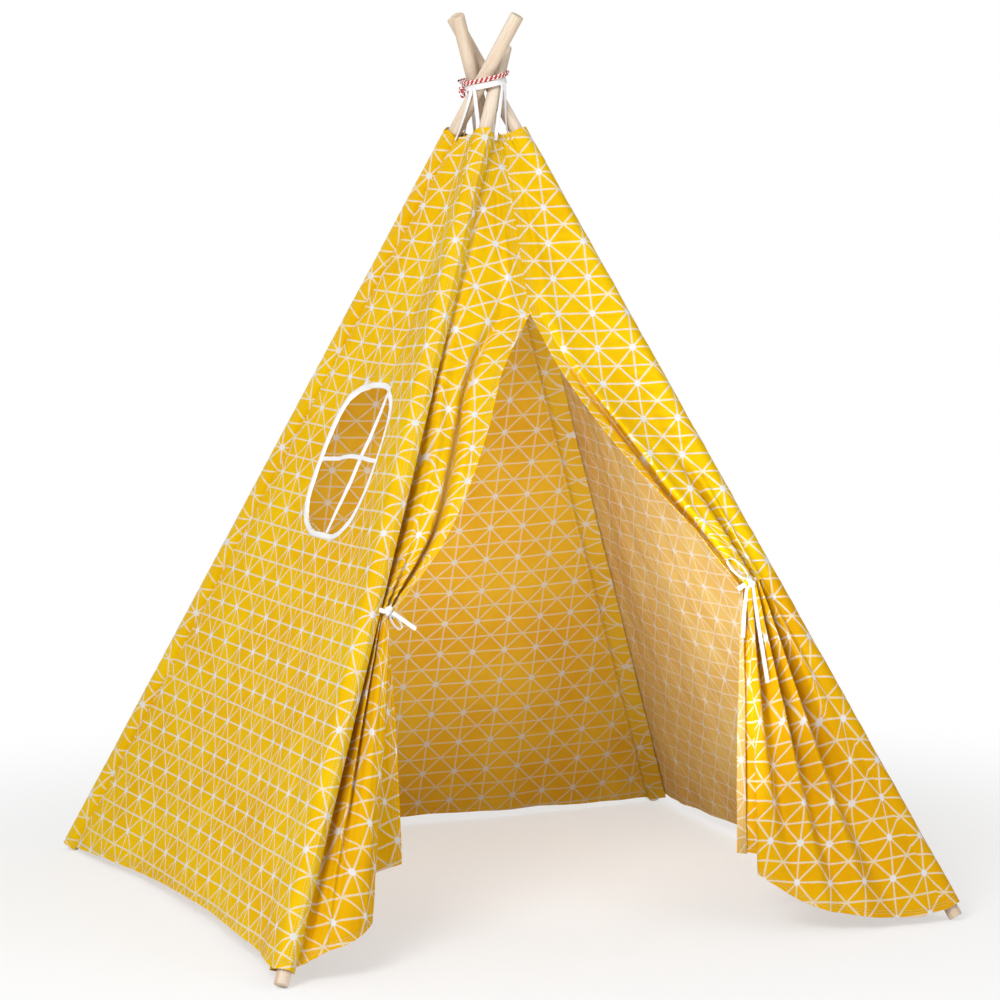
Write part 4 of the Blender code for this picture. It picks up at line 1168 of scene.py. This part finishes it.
def curtain_sheet(door, outer, inner):
    """The half below the tie: folds that fan out from the ribbon to the hem."""
    side = door.side
    lines = np.array(CURTAIN_FOLDS[side], float)
    columns, rows = 220, 130
    shares = np.linspace(0, 1, columns + 1)
    downs = np.linspace(0, 1, rows + 1)
    smooth = weights(len(lines), shares) @ lines
    top = [door.tied(float(k[0]), door.panel_end + 0.003, float(k[1]) / 1000) for k in smooth]
    hem = [door.at_hem(float(k[3]), float(k[4]) / 1000, float(k[5])) for k in smooth]
    points = np.zeros((rows + 1, columns + 1, 3))
    for i, down in enumerate(downs):
        belly = math.sin(math.pi * down ** 0.75)
        for j in range(columns + 1):
            points[i, j] = top[j].lerp(hem[j], float(down)) + door.forward * (smooth[j, 2] / 1000 * belly)
    arc = added_up(np.linalg.norm(np.diff(points[-1], axis=0), axis=1))
    narrow, tie_v = (abs(v) for v in FRONT_PLANE.flat(top[0]))
    wide = abs(FRONT_PLANE.flat(hem[0])[0])
    lengths = np.array([(b - a).length for a, b in zip(top, hem)])
    high_u, low_u = narrow - arc * narrow / wide, wide - arc
    fall = np.sqrt(np.maximum(0.1, lengths ** 2 - (low_u - high_u) ** 2))
    flat = np.zeros((rows + 1, columns + 1, 2))
    flat[..., 0] = high_u[None, :] + (low_u - high_u)[None, :] * downs[:, None]
    flat[..., 1] = tie_v - fall[None, :] * downs[:, None]
    flat[..., 0] *= 1 if side == "right" else -1
    if side == "right":
        extended = []
        for i in range(rows + 1):
            line = [Vector(p) for p in points[i]]
            extended.append(door.wrapped(line, door.pole.beside(line[0])))
        points = np.array([[tuple(p) for p in made] for made, _ in extended])
        flat = np.array([extra + [tuple(f) for f in flats] for (_, extra), flats in zip(extended, flat)])
    seed = 71 if side == "left" else 83
    total = points.shape[1]
    fan = np.linspace(0, 1, total)[None, :] * np.ones((rows + 1, 1))
    deep = downs[:, None] * np.ones((1, total))
    skip = WRAP_COLUMNS if side == "right" else 0
    off = np.maximum(0, np.arange(total) - skip)[None, :] / columns
    ease = soft_step(off / 0.08) * soft_step(deep * 2)
    move = 0.0040 * ripple(fan * 4, deep * 1.3, seed) * ease
    move += 0.0022 * ripple(fan * 14, deep * 1.6, seed + 1) * ease
    move += 0.0009 * ripple(flat[..., 0] * 22, flat[..., 1] * 22, seed + 2)
    points = moved_out(points, move, door.forward, rows // 2, total // 3)
    sideways = to_door_edge(points)
    hem_gap = flat[..., 1] - flat[-1:, :, 1]
    nearer = sideways < hem_gap
    edge_along = np.where(nearer, flat[..., 1], flat[..., 0])
    edge = np.stack([np.where(nearer, sideways, hem_gap), edge_along], axis=-1)
    prints = printed(flat, *CURTAIN_PRINTS[side])
    if side == "right":
        upper = printed(flat, *PANEL_PRINTS[side])
        upper += np.round(prints[0, 0] - upper[0, 0])
        prints = upper + (prints - upper) * soft_step(deep * 1.6)[..., None]
    item = mesh_sheet(f"{side}_door_curtain_cloth", points, prints, edge, door.forward, [outer, inner])
    dress(item, f"{side}_door", f"{side}_door_curtain")
    pole_axis_squash(item, door.corner, door.other_corner)


# Ribbons
def ribbon_mesh(name, centres, sides, width, material, cup=0.0):
    """A flat ribbon along a line of points, with the direction of its width at each."""
    steps = 6
    rows = len(centres)
    points = np.zeros((rows, steps + 1, 3))
    flat = np.zeros((rows, steps + 1, 2))
    run = 0.0
    for i, (centre, side) in enumerate(zip(centres, sides)):
        if i:
            run += (centre - centres[i - 1]).length
        ahead = centres[min(i + 1, rows - 1)] - centres[max(i - 1, 0)]
        lift = ahead.cross(side).normalized()
        for j in range(steps + 1):
            share = j / steps - 0.5
            points[i, j] = centre + side * (share * width) + lift * (cup * (0.25 - share ** 2) * 4)
            flat[i, j] = (j / steps, run)
    return mesh_sheet(name, points, flat, flat, (0, 0, 0), [material], thickness=TAPE_SHEET)


def band_mesh(name, lines, length, outward, material, thickness):
    """A closed band from its lines of points, each of which goes all the way round."""
    points = np.array(lines).transpose(1, 0, 2)
    flat = np.zeros(points.shape[:2] + (2,))
    flat[..., 0] = np.linspace(0, 1, len(lines))[None, :]
    flat[..., 1] = np.linspace(0, length, len(points))[:, None]
    return mesh_sheet(name, points, flat, flat, outward, [material], thickness=thickness, closed=True)


def resample(points, count):
    """Evenly spaced points on the smooth curve through some points, and the curve's length."""
    fine = [cubic(points, s) for s in np.linspace(0, 1, 400)]
    lengths = added_up([(b - a).length for a, b in zip(fine, fine[1:])])
    made = []
    for want in np.linspace(0, lengths[-1], count):
        index = min(int(np.searchsorted(lengths, want)), 399)
        made.append(fine[index].copy())
    return made, float(lengths[-1])


def window_trim(surface, white):
    """The window's binding and its two crossing ribbons, on the finished wall's own surface."""
    wall = WALLS["left_wall"]
    power = 2 / WINDOW_SQUARENESS

    def outline(turn, grow, stand):
        c, s = math.cos(turn), math.sin(turn)
        along = math.copysign(abs(c) ** power, c) * (WINDOW_WIDTH / 2 + grow)
        rise = math.copysign(abs(s) ** power, s) * (WINDOW_SLOPE_LENGTH / 2 + grow)
        wave = 0.0003 * math.sin(9 * turn + 2 * math.sin(5 * turn))
        return on_surface(wall, surface, along, rise, stand + wave)

    # The tape folds over the edge: how far it is outside the outline, and its stand off the cloth
    turns = [math.tau * k / 200 for k in range(201)]
    profile = ((0.0002, -0.0022), (-BINDING_OVERHANG, -0.0020), (-BINDING_OVERHANG - 0.0008, 0.0003),
               (-BINDING_OVERHANG, 0.0022), (0.0005, 0.0027), (0.0035, 0.0024),
               (BINDING_WIDTH - BINDING_OVERHANG, 0.0010))
    lines = [[tuple(outline(turn, grow, stand)) for turn in turns] for grow, stand in profile]
    item = band_mesh("window_binding_tape", lines, 0.86, wall.normal, white, TAPE_SHEET)
    finish_trim(item, "window_binding")

    def reach(length, share):
        return length / 2 * (1 - abs(share) ** WINDOW_SQUARENESS) ** (1 / WINDOW_SQUARENESS)

    half = WINDOW_RIBBON_WIDTH / 2
    top = reach(WINDOW_SLOPE_LENGTH, UPRIGHT_TOP_FORWARD / (WINDOW_WIDTH / 2)) + 0.002
    low = -reach(WINDOW_SLOPE_LENGTH, UPRIGHT_BOTTOM_FORWARD / (WINDOW_WIDTH / 2)) - 0.002
    side = reach(WINDOW_WIDTH, LEVEL_RIBBON_RISE / (WINDOW_SLOPE_LENGTH / 2)) + 0.002
    centres, ways = [], []
    for k in range(41):
        up = k / 40
        middle = UPRIGHT_BOTTOM_FORWARD + (UPRIGHT_TOP_FORWARD - UPRIGHT_BOTTOM_FORWARD) * up
        rise = low + (top - low) * up
        centres.append(on_surface(wall, surface, middle, rise, -0.0006))
        turn = 0.5 * math.sin(math.pi * up)
        way = (wall.beside_window(middle + half, rise) - wall.beside_window(middle - half, rise)).normalized()
        ways.append((way * math.cos(turn) - wall.normal * math.sin(turn)).normalized())
    item = ribbon_mesh("window_upright_tape", centres, ways, WINDOW_RIBBON_WIDTH, white)
    finish_trim(item, "window_upright_ribbon")
    centres, ways = [], []
    for k in range(41):
        up = k / 40
        bow = math.sin(math.pi * up)
        rise = (2 * up - 1) * LEVEL_RIBBON_RISE + 0.006 * bow
        centres.append(on_surface(wall, surface, (2 * up - 1) * side, rise, -0.0024 + 0.004 * bow))
        ways.append((wall.beside_window(0, rise + half) - wall.beside_window(0, rise - half)).normalized())
    item = ribbon_mesh("window_level_tape", centres, ways, WINDOW_RIBBON_WIDTH, white)
    finish_trim(item, "window_level_ribbon")


def finish_trim(item, node):
    dress(item, "back_left_pole", node)
    pole_axis_squash(item, "back_left", "front_left")


def ring_reach(tilt, level):
    """The least radius, in the tilted plane at a level, that clears every pole in use."""
    normal = (tilt.to_3x3() @ UP).normalized()
    centre = tilt @ (UP * level)
    widest = 0
    for pole in poles.values():
        for step in range(13):
            axis = Matrix.Rotation(FOLD_ANGLE * step / 12, 3, pole.tangent) @ pole.axis
            steepness = axis.dot(normal)
            place = pole.pivot + axis * ((centre - pole.pivot).dot(normal) / steepness)
            long_side = (axis - normal * steepness).normalized() * (POLE_RADIUS / steepness)
            short_side = normal.cross(long_side).normalized() * POLE_RADIUS
            for point in range(24):
                turn = math.tau * point / 24
                rim = place + long_side * math.cos(turn) + short_side * math.sin(turn)
                widest = max(widest, (rim - centre).length)
    return widest


def twine_mesh(name, path, material):
    """Round twine with UVs that run round it and along it in metres."""
    sides = 14
    rows = len(path)
    points = np.zeros((rows, sides + 1, 3))
    flat = np.zeros((rows, sides + 1, 2))
    run = 0.0
    normal = None
    for i, place in enumerate(path):
        ahead = (path[min(i + 1, rows - 1)] - path[max(i - 1, 0)]).normalized()
        if i:
            run += (place - path[i - 1]).length
        if normal is None:
            normal = ahead.orthogonal().normalized()
        normal = (normal - ahead * normal.dot(ahead)).normalized()
        side = ahead.cross(normal)
        for j in range(sides + 1):
            turn = math.tau * j / sides
            points[i, j] = place + (normal * math.cos(turn) + side * math.sin(turn)) * TWINE_RADIUS
            flat[i, j] = (j / sides, run)
    return mesh_sheet(name, points, flat, flat, (0, 0, 0), [material], thickness=0, closed=True)


def lashing(white, twine):
    """The ribbon and the twine round the crossing, and the twine's knot."""
    tilt = Matrix.Translation(UP * CROSSING_HEIGHT) @ Matrix.Rotation(-LASHING_TILT, 4, "Y")
    half = LASHING_RIBBON_WIDTH / 2
    inner = max(ring_reach(tilt, half), ring_reach(tilt, -half)) + 0.0005
    sides = 96
    lines = []
    for k in range(7):
        level = -half + LASHING_RIBBON_WIDTH * k / 6
        line = []
        for j in range(sides + 1):
            turn = math.tau * j / sides
            radius = inner + 0.0006 + 0.0003 * math.sin(5 * turn + level * 300)
            line.append(tuple(tilt @ Vector((radius * math.cos(turn), radius * math.sin(turn), level))))
        lines.append(line)
    item = band_mesh("lashing_ribbon_tape", lines, math.tau * inner, (0, 0, 0), white, LASHING_SHEET)
    dress(item, "lashing", "lashing_ribbon")
    low = half + FIT_GAP + TWINE_RADIUS
    begin = math.radians(168)
    turns = []
    for step in range(2 * 96 + 1):
        share = step / 96
        turn = math.tau * share + begin
        level = low + 0.0040 * share
        if step % 8 == 0:
            reach = max(ring_reach(tilt, level + TWINE_RADIUS), ring_reach(tilt, level - TWINE_RADIUS))
        path = reach + 0.0005 + TWINE_RADIUS
        turns.append(tilt @ Vector((path * math.cos(turn), path * math.sin(turn), level)))
    dress(twine_mesh("lashing_twine_cord", turns, twine), "lashing", "lashing_twine")
    outer = inner + RIBBON
    out = Vector((math.cos(begin), math.sin(begin), 0))
    side = UP.cross(out)
    size = 0.0034
    centre = out * (outer + FIT_GAP + TWINE_RADIUS + size) - UP * 0.004
    knot = []
    for step in range(144):
        turn = math.tau * step / 144
        along = math.sin(turn) + 2 * math.sin(2 * turn)
        rise = math.cos(turn) - 2 * math.cos(2 * turn)
        deep = -math.sin(3 * turn)
        knot.append(tilt @ (centre + (side * along + UP * rise + out * deep) * size))
    knot.append(knot[0])
    dress(twine_mesh("lashing_knot_cord", knot, twine), "lashing", "lashing_knot")
    return tilt, outer


NEIGHBOURS = (
    ("back_left", "front_left", "side"),
    ("back_left", "back_right", "back"),
    ("front_left", "back_left", "side"),
    ("front_left", "front_right", "front"),
    ("front_right", "front_left", "front"),
    ("front_right", "back_right", "side"),
    ("back_right", "front_right", "side"),
    ("back_right", "back_left", "back"),
)


def top_ties(white, tilt, outer):
    """The ribbons from the cover's top corners up to the lashing."""
    for corner, other_corner, side in NEIGHBOURS:
        pole, other = poles[corner], poles[other_corner]
        start = pole.at(pole.station_of(COVER_TOP_HEIGHT)) + pole.axis * 0.004
        low = start + pole.across(other) * (EDGE_REACH + 0.006)
        far = other.at(other.station_of(COVER_TOP_HEIGHT)) + other.across(pole) * EDGE_REACH
        beside_pole = pole.tangent.dot(far - low) > 0
        aim = low.lerp(far, 0.48 if beside_pole else 0.22)
        out = Vector((aim.x, aim.y, 0)).normalized()
        reach = out * (outer + FIT_GAP + RIBBON)
        under = tilt @ (reach - UP * LASHING_RIBBON_WIDTH)
        clear = POLE_RADIUS + RIBBON_WIDTH / 2 + FIT_GAP
        centres = []
        for step in range(25):
            share = step / 24
            centre = low.lerp(under, share) - pole.axis * (0.012 * (1 - share) ** 8)
            beside = pole.at(pole.beside(centre))
            centres.append(beside + (centre - beside).normalized() * max(clear, (centre - beside).length))
        centres.append(tilt @ reach)
        centres, _ = resample(centres, 28)
        ways = [Vector((c.y, -c.x, 0)).normalized() for c in centres]
        name = f"{corner}_top_tie_{side}"
        item = ribbon_mesh(name + "_tape", centres, ways, RIBBON_WIDTH, white, cup=0.0006)
        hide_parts(name)
        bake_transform(item)


def tie(door, white):
    """The ribbon loop round the gathered cloth, and its bow."""
    side = door.side
    start = math.sqrt(SLEEVE_RADIUS ** 2 - (BAND_BEND - RIBBON) ** 2) + FIT_GAP * 2
    course = [(start, BAND_BEND)]
    for step in range(25):
        turn = math.pi / 2 - math.pi * step / 24
        course.append((door.band_reach + BAND_BEND * math.cos(turn), BAND_BEND * math.sin(turn)))
    course.append((start, -BAND_BEND))
    base = door.pole.at(door.tie_station)
    centres = [base + door.inward * reach + door.forward * stand for reach, stand in course]
    item = ribbon_mesh(f"{side}_tie_band_ribbon", centres, [door.pole.axis] * len(centres), TIE_BAND_WIDTH,
                       white, cup=0.0006)
    dress(item, f"{door.corner}_pole", f"{side}_tie_band")
    pole_axis_squash(item, door.corner, door.other_corner)

    work = bmesh.new()
    bmesh.ops.create_icosphere(work, subdivisions=4, radius=BOW_KNOT_RADIUS)
    for vert in work.verts:
        direction = vert.co.normalized()
        turn = math.atan2(direction.y, direction.x)
        dent = 0.0011 * math.sin(2 * turn + direction.z * 3.2) - 0.0016 * math.exp(-(direction.z * 3.0) ** 2)
        vert.co = direction * (BOW_KNOT_RADIUS + dent)
        vert.co.z *= BOW_KNOT_STRETCH
    mesh = bpy.data.meshes.new(f"{side}_tie_knot_ribbon")
    work.loops.layers.uv.new("Print")
    work.to_mesh(mesh)
    work.free()
    mesh.shade_smooth()
    mesh.materials.append(white)
    item = bpy.data.objects.new(f"{side}_tie_knot_ribbon", mesh)
    bpy.context.scene.collection.objects.link(item)
    turn = door.pole.axis.to_track_quat("Z", "Y").to_matrix().to_4x4()
    item.matrix_world = Matrix.Translation(door.knot_place()) @ turn
    dress(item, f"{door.corner}_pole", f"{side}_tie_knot")


def bow_loop(door, white, length, slope):
    fullness = 0.17
    heading = door.inward * math.cos(slope) + door.pole.axis * math.sin(slope)
    lift = door.forward.cross(heading)
    start = door.beside_knot(heading)
    centres = []
    for step in range(49):
        turn = math.pi * (2 * step / 48 - 1)
        out = (1 + math.cos(turn)) / 2 * length
        swell = math.sin(turn) * length * fullness
        gap = RIBBON * (1 if step > 24 else -1) * min(1.0, abs(step - 24) / 4)
        centres.append(start + heading * out + lift * (swell + gap))
    item = ribbon_mesh(f"{door.side}_tie_loop_ribbon", centres, [door.forward] * 49, RIBBON_WIDTH, white)
    dress(item, f"{door.corner}_pole", f"{door.side}_tie_loop")


def tail(name, body, centres, side, white, cup):
    """A ribbon's loose end."""
    item = ribbon_mesh(f"{name}_ribbon", centres, [side] * len(centres), RIBBON_WIDTH, white, cup=cup)
    dress(item, body, name)


def left_tail(door, white):
    """The tail that sticks out from the left bow."""
    length, slope = 0.046, math.radians(-18)
    heading = door.inward * math.cos(slope) + door.pole.axis * math.sin(slope)
    side = door.forward.cross(heading)
    start = door.beside_knot(heading) + door.forward * (RIBBON_WIDTH / 2 + RIBBON)
    centres = [start + heading * (length * k / 20) for k in range(21)]
    tail("left_tie_tail", "front_left_pole", centres, side, white, 0.0007)


def right_tail(door, white, name, across, length, shift):
    """A tail that hangs from the right bow, over the folds of its curtain."""
    wave = math.sin(math.tau * 3 * across) * GATHER_DEPTH * min(1, across / 0.12) ** 2
    top = door.tied(across, door.panel_end, wave)
    hem = cubic(door.hem_points, across)
    fall = (hem - top).length
    side = FRONT.cross(UP)
    start = door.beside_knot(-UP) + side * shift
    points = []
    for step in range(13):
        share = step / 12
        down = share * length / fall
        stand = GATHER_DEPTH + (CURTAIN_FOLD_DEPTH - GATHER_DEPTH) * down + 0.004
        lying = top.lerp(hem, down) + door.forward.lerp(door.hem_out(across), down) * stand
        points.append(start.lerp(lying, min(1, share * 2)))
    centres, real = resample(points, 40)
    tail(name, "right_door", centres, side, white, 0.0005)


# The whole scene
set_camera()
set_stage()
# The curtain cloth is a copy of the cover's cloth with painted shade
outer_cloth, curtain_painted_shade_cloth, inner_cloth, painted_light_lining = (cotton(*looks) for looks in CLOTHS)
white_tape = tape("white_tape", (0.86, 0.86, 0.87))
red_twine = twine_material()
left_surface = build_walls(outer_cloth, inner_cloth, painted_light_lining)
for corner, wall, onward in (
        ("front_left", WALLS["left_wall"], "front_right"),
        ("front_right", FRONT_PLANE, "back_right"),
        ("back_right", WALLS["right_wall"], "back_left"),
        ("back_left", WALLS["back_wall"], "front_left")):
    sleeve_sheet(corner, wall, poles[onward], outer_cloth, inner_cloth)
doors = {side: Door(side) for side in ("left", "right")}
for door in doors.values():
    panel_sheet(door, outer_cloth, inner_cloth)
    tie(door, white_tape)
    curtain_sheet(door, curtain_painted_shade_cloth, painted_light_lining)
window_trim(left_surface, white_tape)
lashing_tilt, lashing_outer = lashing(white_tape, red_twine)
top_ties(white_tape, lashing_tilt, lashing_outer)
bow_loop(doors["left"], white_tape, 0.028, math.radians(-40))
bow_loop(doors["right"], white_tape, 0.045, math.radians(71))
left_tail(doors["left"], white_tape)
right_tail(doors["right"], white_tape, "right_tie_short_tail", 0.92, 0.085, 0.0042)
right_tail(doors["right"], white_tape, "right_tie_long_tail", 0.55, 0.172, -0.0042)

socket = plastic("ferrule_plastic")
for corner, pole in poles.items():
    wood = pine(pole)
    for part, made in (
            ("pole_lower", wood), ("pole_middle", wood), ("pole_upper", wood),
            ("ferrule_lower", socket), ("ferrule_upper", socket)):
        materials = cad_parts[f"{corner}_{part}"].data.materials
        materials.clear()
        materials.append(made)

bpy.context.view_layer.update()
